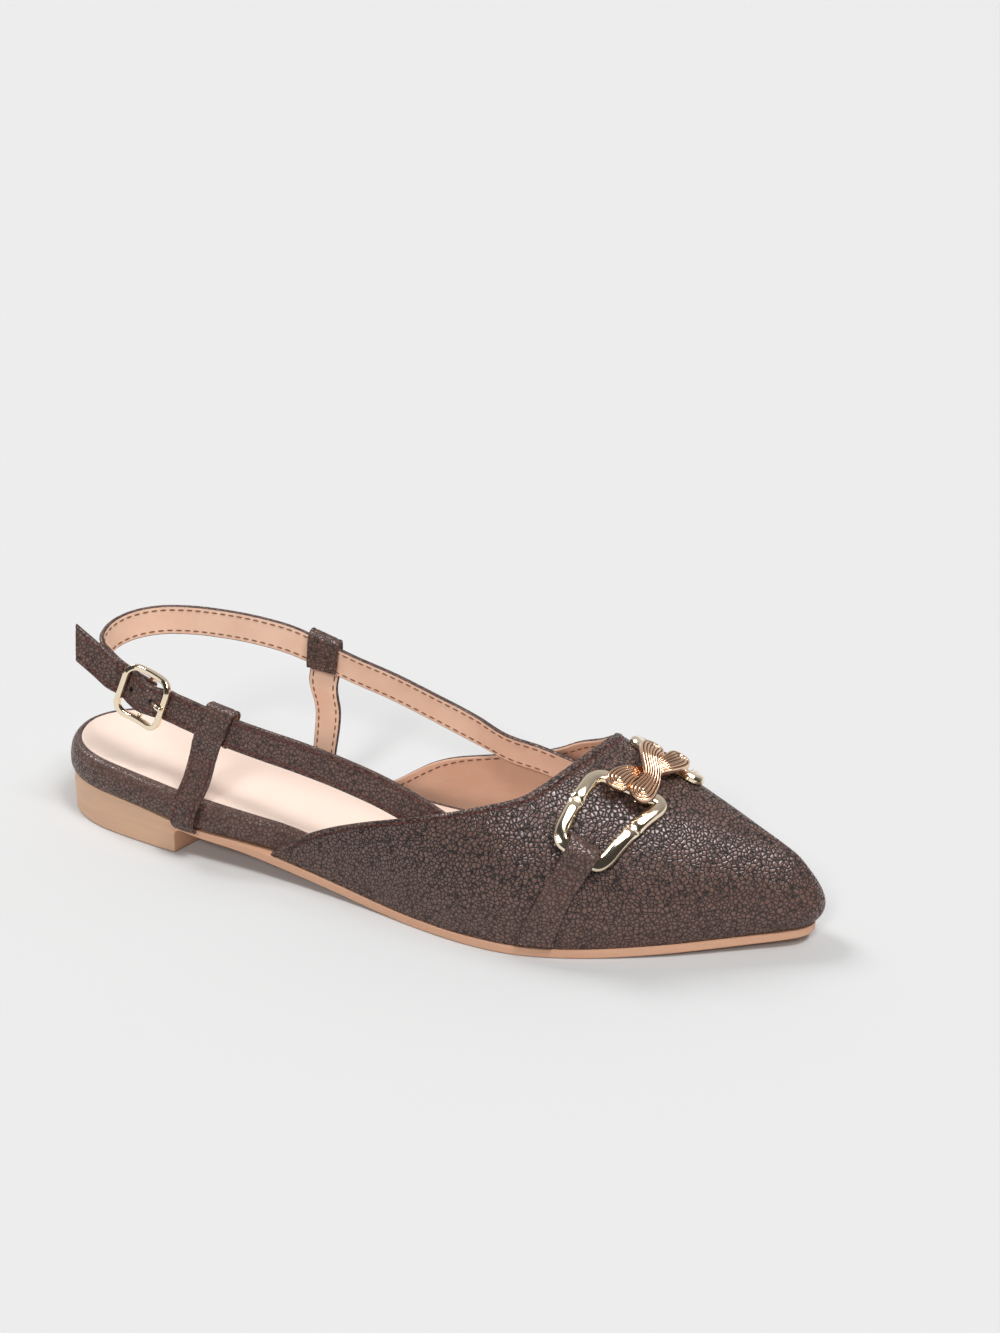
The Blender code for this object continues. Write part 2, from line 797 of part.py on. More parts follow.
def buckle_frame():
    loop = []
    half_long = BUCKLE_LONG / 2 - FRAME_RADIUS
    half_tall = BUCKLE_TALL / 2 - FRAME_RADIUS
    for cx, cy, start in ((1, 1, 0.0), (-1, 1, 90.0), (-1, -1, 180.0), (1, -1, 270.0)):
        for turn in (0.0, 30.0, 60.0, 90.0):
            a = math.radians(start + turn)
            loop.append((
                cx * (half_long - BUCKLE_CORNER) + BUCKLE_CORNER * math.cos(a),
                cy * (half_tall - BUCKLE_CORNER) + BUCKLE_CORNER * math.sin(a),
            ))
        if cx == cy:
            for share in (0.25, 0.5, 0.75):
                loop.append((cx * (half_long - BUCKLE_CORNER) * (1 - 2 * share), cy * half_tall))
    path = []
    for along, up in loop:
        dip = math.cos(math.pi / 2 * along / half_long) ** 2
        path.append(at_buckle(along, up, FRAME_OUT + (BAR_OUT - FRAME_OUT) * dip))
    section = round_section(FRAME_RADIUS, FRAME_RADIUS, 8)
    points, faces = tube(np.array(path), BUCKLE_OUT, section, True)
    frame = finish("buckle_frame", points, faces, (0.86, 0.68, 0.42), 1.0, 0.2)
    ends = np.array([at_buckle(0.0, -half_tall, BAR_OUT), at_buckle(0.0, half_tall, BAR_OUT)])
    points, faces = tube(ends, BUCKLE_OUT, round_section(BAR_RADIUS, BAR_RADIUS, 10), False)
    bar = finish("buckle_bar", points, faces, (0.86, 0.68, 0.42), 1.0, 0.2)
    join = frame.modifiers.new("bar", "BOOLEAN")
    join.operation = "UNION"
    join.solver = "EXACT"
    join.object = bar
    bpy.context.view_layer.objects.active = frame
    bpy.ops.object.modifier_apply(modifier="bar")
    bpy.data.objects.remove(bar)
    return frame


def buckle_prong():
    radius = BAR_RADIUS + 0.25 + PRONG_RADIUS
    path = []
    for turn in (-170.0, -135.0, -100.0, -65.0, -30.0, 5.0, 40.0, 75.0):
        a = math.radians(180.0 - turn)
        path.append(at_buckle(radius * math.cos(a), 0.0, BAR_OUT + radius * math.sin(a)))
    for along, out in ((1.6, -0.2), (3.2, 0.65), (4.9, 1.75), (6.5, 2.85), (7.6, 3.15), (8.8, 3.1)):
        path.append(at_buckle(along, 0.0, out))
    section = round_section(PRONG_RADIUS, PRONG_RADIUS, 8)
    points, faces = tube(np.array(path), BUCKLE_UP, section, False)
    return finish("buckle_prong", points, faces, (0.86, 0.68, 0.42), 1.0, 0.2)


# End of a chain strap looped over the link's outer bar: up from the bar, out from the upper
CHAIN_LOOP = (
    (-12.5, 1.0),
    (-10.0, 2.0),
    (-7.5, 2.7),
    (-5.0, 3.0),
    (-3.5, 4.3),
    (-1.6, 5.7),
    (0.6, 5.9),
    (2.8, 4.9),
    (3.6, 3.3),
    (2.8, 1.6),
    (1.0, 1.0),
    (-2.0, 1.0),
    (-5.5, 1.0),
    (-7.5, 1.0),
)


def chain_strap(name, side):
    """Flat strap lying on the upper, doubled near the link, its end looped over the link's outer bar."""
    corners = LINK_CORNERS[side]
    slope = (corners[1][0] - corners[0][0]) / (corners[1][1] - corners[0][1])
    foot = 1.0 if side == LATERAL else 179.0
    way = 1.0 if side == LATERAL else -1.0
    run = np.concatenate([[(-40.0 + 5.5 * k, 1.0) for k in range(5)], through(np.array(CHAIN_LOOP), 34)])
    rows = np.zeros((len(run), 4, 3))
    for i, (up, out) in enumerate(run):
        for j, share in enumerate((0.0, 0.33, 0.67, 1.0)):
            turn = bar = corners[0][0]
            for _ in range(5):
                key = 36.0 * (turn - foot) / (bar - foot)
                rear = float(follow(CHAIN_STRAP, 1, key))
                front = float(follow(CHAIN_STRAP, 2, key))
                x = rear + (front - rear) * share + CHAIN_FORWARD[side]
                bar = corners[0][0] + slope * (x - corners[0][1])
                step = np.linalg.norm(upper_point(station(x), bar + 2.0) - upper_point(station(x), bar - 2.0)) / 4
                turn = bar + way * up / step
                if up < CHAIN_LOOP[0][0]:
                    start = bar + way * CHAIN_LOOP[0][0] / step
                    turn = foot + (start - foot) * (up + 40.0) / (CHAIN_LOOP[0][0] + 40.0)
            rows[i, j] = upper_offset(station(x), turn, out)
    along = np.gradient(rows, axis=0)
    across = np.gradient(rows, axis=1)
    normal = unit(np.cross(along, across))
    points, faces = panel(rows + normal * TAB_THICK / 2, rows - normal * TAB_THICK / 2)
    return finish(name, points, faces, (0.062, 0.041, 0.036))


def link(name, side):
    corners = np.array(LINK_CORNERS[side])
    loop = []
    soft = 0.30
    for cx, cy, start in ((1, 1, 0.0), (-1, 1, 90.0), (-1, -1, 180.0), (1, -1, 270.0)):
        for turn in (0.0, 30.0, 60.0, 90.0):
            a = math.radians(start + turn)
            loop.append((cx * (1 - soft) + soft * math.cos(a), cy * (1 - soft) + soft * math.sin(a)))
        nxt = {(1, 1): (0, 1), (-1, 1): (-1, 0), (-1, -1): (0, -1), (1, -1): (1, 0)}[(cx, cy)]
        for share in (-0.4, 0.0, 0.4):
            flip = -1 if (cx, cy) in ((1, 1), (-1, 1)) else 1
            if nxt[0] == 0:
                loop.append((flip * share, float(nxt[1])))
            else:
                loop.append((float(nxt[0]), flip * share))
    path = []
    ups = []
    for p, q in loop:
        s, t = (p + 1) / 2, (q + 1) / 2
        outer = corners[0] * (1 - s) + corners[1] * s
        inner = corners[3] * (1 - s) + corners[2] * s
        turn, x = outer * (1 - t) + inner * t
        path.append(upper_offset(station(x), turn, LINK_LIFT[1] + (LINK_LIFT[0] - LINK_LIFT[1]) * (1 - t) ** 2))
        ups.append(upper_normal(station(x), turn))
    points, faces = tube(np.array(path), np.array(ups), LINK_SECTION, True)
    return finish(name, points, faces, (0.88, 0.74, 0.55), 1.0, 0.15)


def knot_band(name):
    """Flat band from a lobe on one link to a lobe on the other, rounded at both ends."""
    x, turn = KNOT_MIDDLE
    u = station(x)
    middle = upper_point(u, turn)
    up = upper_normal(u, turn)
    forward = unit(upper_point(station(x + 3.0), turn) - upper_point(station(x - 3.0), turn))
    across = np.cross(up, forward)
    way = through(np.array(KNOT_BANDS[name]), 81)
    path = middle + way[:, :1] * across + way[:, 1:2] * forward + way[:, 2:] * up
    done = np.concatenate([[0.0], np.cumsum(np.linalg.norm(np.diff(path, axis=0), axis=1))])
    rings = []
    picked = [0, 1, 3, 6, 10, 14, 18, 22, 26, 30, 34, 37, 40]
    picked += [80 - i for i in reversed(picked[:-1])]
    tangent = tangents(path)
    rise = square_to(up, tangent)
    side = np.cross(rise, tangent)
    for i in picked:
        left = min(done[i], done[-1] - done[i])
        broad = KNOT_LOBE - (KNOT_LOBE - KNOT_WAIST) * min(1.0, max(0.0, (left - 5.0) / 5.0))
        short = max(0.0, 1.0 - (left + 0.25) / KNOT_LOBE)
        share = math.sqrt(1.0 - short * short)
        tall = KNOT_HALF_HIGH * (0.55 + 0.45 * share)
        ring = []
        for k in range(10):
            a = 2 * math.pi * (k + 0.5) / 10
            cos, sin = math.cos(a), math.sin(a)
            wide = math.copysign(abs(cos) ** (2 / KNOT_ROUND), cos) * broad * share
            high = math.copysign(abs(sin) ** (2 / KNOT_ROUND), sin) * tall
            ring.append(path[i] + side[i] * wide + rise[i] * high)
        rings.append(np.array(ring))
    points, faces = loft(rings)
    return finish(name, points, faces, (0.80, 0.55, 0.38), 1.0, 0.25)


def build():
    for obj in list(bpy.data.objects):
        bpy.data.objects.remove(obj)
    pieces = [sole(), footbed(), insole(), vamp(), sling_strap(), heel_strap()]
    pieces.append(keeper_tab("keeper_tab_lateral", LATERAL_RUN, 4, LATERAL))
    pieces.append(keeper_tab("keeper_tab_medial", HEEL_RUN, 4, MEDIAL))
    pieces += [buckle_frame(), buckle_prong()]
    pieces += [chain_strap("chain_strap_lateral", LATERAL), chain_strap("chain_strap_medial", MEDIAL)]
    pieces += [link("link_lateral", LATERAL), link("link_medial", MEDIAL)]
    pieces += [knot_band(name) for name in KNOT_BANDS]
    corners = np.array([tuple(v.co) for obj in pieces for v in obj.data.vertices])
    low, high = corners.min(axis=0), corners.max(axis=0)
    for obj in pieces:
        for vertex in obj.data.vertices:
            vertex.co.x -= (low[0] + high[0]) / 2
            vertex.co.y -= (low[1] + high[1]) / 2
            vertex.co.z -= low[2]


build()
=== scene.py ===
"""Looks of the pointed-toe slingback flat: fine meshes, materials, light and camera round the solids.

Sizes are millimetres in the shoe's design frame (x from heel to toe, y to the medial side, z up), until
place() turns them into metres in the part's own frame.
"""
import math

import bpy
import numpy as np
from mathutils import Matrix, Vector


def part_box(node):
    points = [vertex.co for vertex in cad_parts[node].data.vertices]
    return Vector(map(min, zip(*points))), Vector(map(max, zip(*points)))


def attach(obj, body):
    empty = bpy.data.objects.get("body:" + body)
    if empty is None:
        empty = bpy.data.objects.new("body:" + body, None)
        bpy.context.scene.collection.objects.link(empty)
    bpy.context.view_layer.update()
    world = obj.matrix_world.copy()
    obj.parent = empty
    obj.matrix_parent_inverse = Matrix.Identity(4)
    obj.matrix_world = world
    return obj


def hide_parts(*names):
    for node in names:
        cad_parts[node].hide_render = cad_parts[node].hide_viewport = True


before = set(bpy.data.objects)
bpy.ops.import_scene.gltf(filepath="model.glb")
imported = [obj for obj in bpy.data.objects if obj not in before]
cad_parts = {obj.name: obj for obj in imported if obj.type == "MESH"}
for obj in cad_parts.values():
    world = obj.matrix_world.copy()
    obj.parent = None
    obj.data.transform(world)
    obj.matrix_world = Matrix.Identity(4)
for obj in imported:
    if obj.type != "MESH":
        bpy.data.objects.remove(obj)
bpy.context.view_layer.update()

MM = 0.001
SOLE_LENGTH = 262.0
GAP = 0.3
WALL = 1.8
STRAP_WIDTH = 10.4
STRAP_THICK = 1.6
TAB_WIDTH = 11.0
TAB_FOOT_WIDTH = 8.4
TAB_THICK = 1.4
LATERAL, MEDIAL = 0, 1
SIGN = (1.0, -1.0)
WAIST_START = 66.0

# Edge of the sole seen from above: x, lateral y, medial y
SOLE_EDGE = (
    (0.0, 0.0, 0.0),
    (5.5, -15.6, 13.5),
    (11.0, -20.4, 18.0),
    (21.0, -25.0, 22.3),
    (31.0, -27.2, 24.0),
    (42.0, -28.7, 24.8),
    (54.0, -29.8, 24.8),
    (70.0, -30.6, 23.6),
    (90.0, -31.4, 21.6),
    (110.0, -33.2, 21.8),
    (130.0, -36.2, 24.8),
    (150.0, -40.2, 30.0),
    (165.0, -42.2, 34.0),
    (180.0, -42.0, 36.2),
    (195.0, -38.0, 36.2),
    (210.0, -31.2, 33.4),
    (224.0, -23.6, 28.8),
    (238.0, -14.5, 21.8),
    (248.0, -7.6, 16.2),
    (256.0, -2.2, 12.7),
    (260.0, 1.2, 10.8),
    (262.0, 6.3, 6.3),
)

# Side view of the bottom: x, underside of the sole, top of the sole, top of the insole
PROFILE = (
    (0.0, 9.6, 14.6, 25.8),
    (32.0, 9.4, 13.9, 24.0),
    (48.0, 9.2, 12.7, 22.4),
    (58.0, 8.8, 11.6, 21.4),
    (68.0, 7.6, 10.5, 20.6),
    (80.0, 6.6, 9.6, 19.4),
    (90.0, 5.3, 8.3, 18.2),
    (100.0, 4.0, 7.0, 16.9),
    (118.0, 1.9, 4.9, 14.0),
    (134.0, 0.4, 3.4, 11.5),
    (146.0, 0.0, 3.0, 10.0),
    (170.0, 0.0, 3.0, 8.6),
    (204.0, 0.0, 3.0, 8.4),
    (224.0, 1.0, 4.0, 9.3),
    (238.0, 1.8, 4.8, 10.0),
    (250.0, 2.5, 5.5, 10.7),
    (262.0, 3.4, 6.4, 11.4),
)
UNDERSIDE, SOLE_TOP, INSOLE_TOP = 1, 2, 3

# Leather-covered rim: x, how far it stands out from the sole's edge, width of its top
RIM = (
    (0.0, 0.7, 3.8),
    (20.0, 1.1, 4.2),
    (45.0, 1.2, 4.9),
    (65.0, 0.8, 4.5),
    (84.0, -1.2, 3.7),
    (94.0, -3.0, 3.2),
    (110.0, -3.4, 3.2),
    (262.0, -3.4, 3.2),
)

# Ridge of the upper's full arch: x of the side wall's foot, x, y and z of the ridge
SPINE = (
    (88.0, 88.0, -1.0, 87.0),
    (120.0, 120.0, 1.0, 81.0),
    (150.0, 150.0, 3.0, 72.6),
    (175.0, 175.0, 5.0, 63.2),
    (195.0, 195.0, 6.3, 53.9),
    (210.0, 209.2, 6.6, 48.0),
    (225.0, 222.4, 6.6, 42.8),
    (240.0, 235.4, 6.5, 37.2),
    (252.0, 246.6, 6.4, 32.2),
    (262.0, 252.8, 6.3, 29.3),
)

# Top line of the upper: turn of the arch in degrees from the lateral foot, x where the leather begins
TOPLINE = (
    (0.0, 92.5),
    (3.8, 100.2),
    (9.4, 112.3),
    (15.9, 127.7),
    (22.2, 142.7),
    (28.9, 156.4),
    (36.5, 168.7),
    (46.1, 180.1),
    (54.0, 184.8),
    (63.8, 188.5),
    (75.9, 191.5),
    (85.6, 193.0),
    (95.8, 193.8),
    (108.0, 192.4),
    (124.5, 187.6),
    (134.1, 181.7),
    (141.6, 173.7),
    (149.0, 164.7),
    (153.4, 155.8),
    (157.2, 142.5),
    (159.9, 132.5),
    (162.7, 125.6),
    (166.8, 118.5),
    (171.4, 111.3),
    (176.0, 103.0),
    (180.0, 94.5),
)
ARCH_POWER = (2.35, 1.9)
TOE_POWER = 2.5
TOE_START = 215.0
BULGE_SIDE = 1.2
BULGE_TOE = 3.4
FOOT_INSET = 0.5
STEEPEST_FALL = -0.62

# Makes the swell of the side wall peak at one, and the small steps that slopes and normals are read over
SWELL_SCALE = 6.75
EDGE_STEP = 0.002
SLOPE_STEP = 0.03
NORMAL_STEP = 0.004
NORMAL_TURN = 0.8

# Lateral sling strap. Seat inside the upper: x, z. Free run and tail: x, y, z of the middle
LATERAL_SEAT = ((170.0, 29.0), (158.0, 33.2), (147.0, 36.6))
LATERAL_RUN = (
    (134.0, -31.2, 39.4),
    (119.0, -30.4, 42.4),
    (104.0, -29.6, 44.4),
    (88.0, -27.8, 45.3),
    (70.0, -25.2, 46.4),
    (59.6, -24.3, 48.2),
    (54.4, -23.9, 49.1),
)
LATERAL_TAIL = (
    (30.4, -24.5, 57.6),
    (26.0, -24.9, 60.9),
    (17.9, -25.4, 66.5),
)

# Heel strap, from its seat inside the medial wing round the heel to the buckle
HEEL_SEAT = ((172.0, 27.5), (161.0, 31.5), (150.0, 35.0))
HEEL_RUN = (
    (138.0, 24.6, 38.8),
    (124.0, 24.2, 43.6),
    (107.0, 24.0, 48.8),
    (93.0, 23.4, 52.4),
    (82.8, 22.5, 55.8),
    (72.0, 20.6, 59.8),
    (61.0, 18.6, 62.0),
    (47.0, 16.6, 63.0),
    (34.0, 14.2, 63.0),
    (26.4, 11.0, 62.8),
    (21.2, 6.5, 62.4),
    (18.0, 0.5, 61.8),
    (16.9, -6.0, 60.6),
    (18.6, -12.4, 58.8),
)
KEEPER_ROW = 4

# Buckle: middle, slope of the strap there, lean of its top towards the foot
BUCKLE_MIDDLE = (41.8, -23.6, 51.1)
BUCKLE_SLOPE = -0.32
BUCKLE_LEAN = 0.18
BUCKLE_LONG = 18.2
BUCKLE_TALL = 19.0
BUCKLE_CORNER = 3.8
FRAME_RADIUS = 1.0
FRAME_OUT = 1.3
BAR_RADIUS = 0.8
BAR_OUT = -1.9
PRONG_RADIUS = 0.55
FOLD_THICK = 0.9

# Weave of the lateral strap through the buckle: along the strap, up, out from the frame
WEAVE = (
    (8.1, 0.9, -1.0),
    (4.2, 0.3, 0.15),
    (0.0, 0.1, 1.25),
    (-4.2, 0.3, 0.15),
    (-8.1, 0.9, -1.0),
)

# Heel strap's fold over the bar: along the strap, out from the frame, and turns round the bar in degrees
FOLD_RUN = ((-17.0, -6.2), (-12.0, -4.6), (-7.0, -3.6))
FOLD_NEAR = ((-4.8, -3.45), (-2.7, -3.4), (-1.0, -3.4))
FOLD_TURNS = (-60.0, -30.0, 0.0, 30.0, 60.0, 85.0)
FOLD_BACK = ((-1.0, -0.45), (-2.7, -1.2), (-4.4, -1.85))

# Keeper tabs from the seam between rim and sole up the flank, and the lean of their tops
TABS = {
    "keeper_tab_lateral": (
        (60.6, -32.0, 10.9),
        (60.6, -34.0, 13.4),
        (61.7, -34.2, 18.6),
        (65.3, -30.8, 29.6),
    ),
    "keeper_tab_medial": (
        (78.2, 25.2, 10.2),
        (78.4, 26.9, 13.0),
        (79.0, 27.3, 18.6),
        (81.4, 26.2, 34.0),
    ),
}
TAB_LEAN = {
    "keeper_tab_lateral": (0.38, 0.2, 1.0),
    "keeper_tab_medial": (0.14, -0.07, 1.0),
}

# Tab round the strap: out from the strap's middle, up along its width
TAB_LOOP = (
    (1.0, -9.6),
    (1.6, -7.4),
    (2.0, -4.8),
    (2.0, 0.0),
    (2.0, 5.0),
    (1.55, 6.5),
    (0.6, 7.2),
    (-0.6, 7.2),
    (-1.55, 6.5),
    (-2.0, 5.0),
    (-2.0, 0.0),
    (-2.0, -4.8),
    (-1.6, -7.0),
    (-0.9, -8.8),
)

# Leather strap that holds the chain: way up it in degrees of turn, x of its rear edge, x of its front edge
CHAIN_FORWARD = (0.0, 4.2)
CHAIN_STRAP = (
    (1.0, 184.6, 195.0),
    (10.0, 188.4, 197.4),
    (20.0, 191.8, 200.0),
    (30.0, 194.5, 202.5),
    (38.0, 195.9, 204.0),
)

# End of a chain strap looped over the link's outer bar: up from the bar, out from the upper
CHAIN_LOOP = (
    (-12.5, 1.0),
    (-10.0, 2.0),
    (-7.5, 2.7),
    (-5.0, 3.0),
    (-3.5, 4.3),
    (-1.6, 5.7),
    (0.6, 5.9),
    (2.8, 4.9),
    (3.6, 3.3),
    (2.8, 1.6),
    (1.0, 1.0),
    (-2.0, 1.0),
    (-5.5, 1.0),
    (-7.5, 1.0),
)

# Open links, lateral then medial: turn and x of rear outer, front outer, front inner and rear inner corner
LINK_CORNERS = (
    ((37.2, 192.6), (30.7, 205.8), (68.2, 218.6), (69.0, 196.6)),
    ((135.0, 196.6), (140.5, 211.0), (97.5, 223.4), (98.0, 199.8)),
)
LINK_LIFT = (2.2, 0.4)

# Knot of two bands crossed over each other: across to the medial side, forward, height
KNOT_MIDDLE = (208.8, 80.0)
KNOT_BANDS = {
    "knot_band_under": (
        (-14.6, -6.1, 2.7),
        (-12.2, -5.9, 3.5),
        (-9.5, -5.3, 3.9),
        (-6.0, -3.8, 3.6),
        (-3.0, -1.8, 2.4),
        (0.0, 0.2, 1.9),
        (3.0, 2.3, 2.3),
        (6.0, 4.6, 3.5),
        (9.0, 6.3, 3.8),
        (11.4, 7.0, 3.3),
        (13.0, 7.3, 2.5),
    ),
    "knot_band_over": (
        (-14.6, 1.5, 2.8),
        (-12.4, 1.9, 3.7),
        (-9.4, 2.5, 4.3),
        (-6.0, 2.7, 5.1),
        (-3.0, 1.9, 5.5),
        (0.0, 0.3, 5.5),
        (3.0, -1.2, 5.4),
        (6.0, -1.9, 4.8),
        (8.5, -2.0, 3.9),
        (10.5, -1.9, 3.2),
        (12.0, -1.8, 2.3),
    ),
}
KNOT_LOBE = 3.75
KNOT_HALF_HIGH = 1.5
KNOT_ROUND = 2.6


# Curves and surfaces of the shoe

def follow(rows, column, at):
    """Read one column of a table along a smooth curve through its rows."""
    keys = np.array([row[0] for row in rows])
    values = np.array([row[column] for row in rows])
    slopes = np.gradient(values, keys)
    at = np.clip(at, keys[0], keys[-1])
    i = np.clip(np.searchsorted(keys, at) - 1, 0, len(keys) - 2)
    span = keys[i + 1] - keys[i]
    t = (at - keys[i]) / span
    start = values[i] * (1 + 2 * t) * (1 - t) ** 2 + slopes[i] * span * t * (1 - t) ** 2
    return start + values[i + 1] * t * t * (3 - 2 * t) - slopes[i + 1] * span * t * t * (1 - t)


def unit(v):
    v = np.asarray(v, float)
    return v / np.maximum(np.linalg.norm(v, axis=-1, keepdims=True), 1e-12)


def station(x):
    """Turn a length along the foot into the lofting parameter, which rounds both ends."""
    return np.arccos(1 - 2 * x / SOLE_LENGTH) / np.pi


def length_at(u):
    return SOLE_LENGTH * (1 - np.cos(np.pi * u)) / 2


EDGE_ROWS = tuple((station(x), lateral, medial) for x, lateral, medial in SOLE_EDGE)


def edge(u, side, out=0.0):
    """Points of the sole's edge on one side, moved outwards by a distance in plan."""
    lo = np.maximum(u - EDGE_STEP, 0.0)
    hi = np.minimum(u + EDGE_STEP, 1.0)
    run = length_at(hi) - length_at(lo)
    rise = follow(EDGE_ROWS, 1 + side, hi) - follow(EDGE_ROWS, 1 + side, lo)
    size = np.hypot(run, rise)
    sign = SIGN[side]
    x = length_at(u) + sign * out * rise / size
    y = follow(EDGE_ROWS, 1 + side, u) - sign * out * run / size
    return np.stack([x, y], axis=-1)


def spine(u):
    foot = length_at(u)
    return np.stack([follow(SPINE, 1, foot), follow(SPINE, 2, foot), follow(SPINE, 3, foot)], axis=-1)


def spine_slope(u):
    behind = spine(np.maximum(u - SLOPE_STEP, 0.0))
    ahead = spine(u)
    return (ahead[..., 2] - behind[..., 2]) / (ahead[..., 0] - behind[..., 0])


def upper_side(u, psi, side):
    """One side of the upper's outer face, turned by psi from its foot."""
    foot = edge(u, side, -FOOT_INSET)
    ridge = spine(u)
    base = follow(PROFILE, SOLE_TOP, foot[..., 0]) + GAP
    toe = np.maximum(0.0, (length_at(u) - TOE_START) / (SOLE_LENGTH - TOE_START))
    power = ARCH_POWER[side] + (TOE_POWER - ARCH_POWER[side]) * toe ** 2
    across = 1.0 - np.maximum(np.cos(psi), 0.0) ** (2 / power)
    rise = np.maximum(np.sin(psi), 0.0) ** (2 / power)
    swell = (BULGE_SIDE + (BULGE_TOE - BULGE_SIDE) * toe) * SWELL_SCALE * rise * (1 - rise) ** 2
    plan = edge(u, side, swell - FOOT_INSET) + (ridge[..., :2] - foot) * across[..., None]
    fall = np.maximum(STEEPEST_FALL, spine_slope(u)) * (foot[..., 0] - ridge[..., 0]) * (1 - across)
    height = base + (ridge[..., 2] + fall - base) * rise
    return np.concatenate([plan, height[..., None]], axis=-1)


def upper_point(u, turn):
    """Outer face of the upper: turn 0 is the lateral foot, 90 the ridge and 180 the medial foot."""
    u, turn = np.broadcast_arrays(u, turn)
    lateral = upper_side(u, np.radians(np.minimum(turn, 90.0)), LATERAL)
    medial = upper_side(u, np.radians(np.minimum(180.0 - turn, 90.0)), MEDIAL)
    return np.where((turn <= 90.0)[..., None], lateral, medial)


def upper_normal(u, turn):
    u, turn = np.broadcast_arrays(u, turn)
    ahead, behind = np.minimum(u + NORMAL_STEP, 0.995), np.maximum(u - NORMAL_STEP, 0.0)
    right, left = np.minimum(turn + NORMAL_TURN, 180.0), np.maximum(turn - NORMAL_TURN, 0.0)
    along = upper_point(ahead, turn) - upper_point(behind, turn)
    return unit(np.cross(along, upper_point(u, right) - upper_point(u, left)))


def upper_offset(u, turn, out):
    return upper_point(u, turn) + upper_normal(u, turn) * np.asarray(out, float)[..., None]


def wall_y(x, z, side, inward):
    """y on the side wall of the upper at a length and height, moved towards the foot by a distance."""
    u = station(x)
    lo, hi = (0.0, 90.0) if side == LATERAL else (180.0, 90.0)
    for _ in range(40):
        mid = (lo + hi) / 2
        if upper_point(u, mid)[2] < z:
            lo = mid
        else:
            hi = mid
    return upper_offset(u, (lo + hi) / 2, -inward)[1]


def arc_lengths(points):
    """Length along a polyline at each of its points, from their first three columns."""
    steps = np.linalg.norm(np.diff(points[:, :3], axis=0), axis=1)
    return np.concatenate([[0.0], np.cumsum(steps)])


def through(points, count):
    """Evenly spaced points along a smooth curve; columns after the third ride along with the first three."""
    points = np.asarray(points, float)
    keys = arc_lengths(points)
    rows = [(key, *point) for key, point in zip(keys, points)]
    at = np.linspace(0.0, keys[-1], count)
    return np.stack([follow(rows, 1 + axis, at) for axis in range(points.shape[1])], axis=1)


def tangents(path, closed=False):
    if closed:
        return unit(np.roll(path, -1, axis=0) - np.roll(path, 1, axis=0))
    return unit(np.gradient(path, axis=0))


def square_to(direction, tangent):
    """The given direction made square to a tangent."""
    direction = np.broadcast_to(direction, tangent.shape)
    inline = np.sum(direction * tangent, axis=-1, keepdims=True)
    return unit(direction - inline * tangent)


BUCKLE_ALONG = unit([1.0, -0.02, BUCKLE_SLOPE])
BUCKLE_UP = square_to([0.0, BUCKLE_LEAN, 1.0], BUCKLE_ALONG[None, :])[0]
BUCKLE_OUT = np.cross(BUCKLE_ALONG, BUCKLE_UP)


def at_buckle(along, up, out):
    return BUCKLE_MIDDLE + BUCKLE_ALONG * along + BUCKLE_UP * up + BUCKLE_OUT * out


def bar_turn(radius, degrees):
    """Points round the buckle's bar at a distance from its middle."""
    turns = np.radians(degrees)
    return [at_buckle(radius * math.cos(a), 0.0, BAR_OUT + radius * math.sin(a)) for a in turns]


def buckle_run(rows):
    """Points half way up the buckle, from lengths along the strap and distances out from the frame."""
    return [at_buckle(along, 0.0, out) for along, out in rows]


def design_shift():
    """Where the part's own origin lies in the design frame, from the sole's box."""
    low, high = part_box("sole")
    rings = np.linspace(station(WAIST_START), 0.992, 34)
    tip = length_at(rings[-1])
    lateral = follow(EDGE_ROWS, 1, rings).min()
    return np.array([tip - high.x / MM, lateral - low.y / MM, 0.0])


SHIFT = design_shift()


def place(points):
    """Design millimetres to metres in the part's frame."""
    return (np.asarray(points, float) - SHIFT) * MM


# Materials

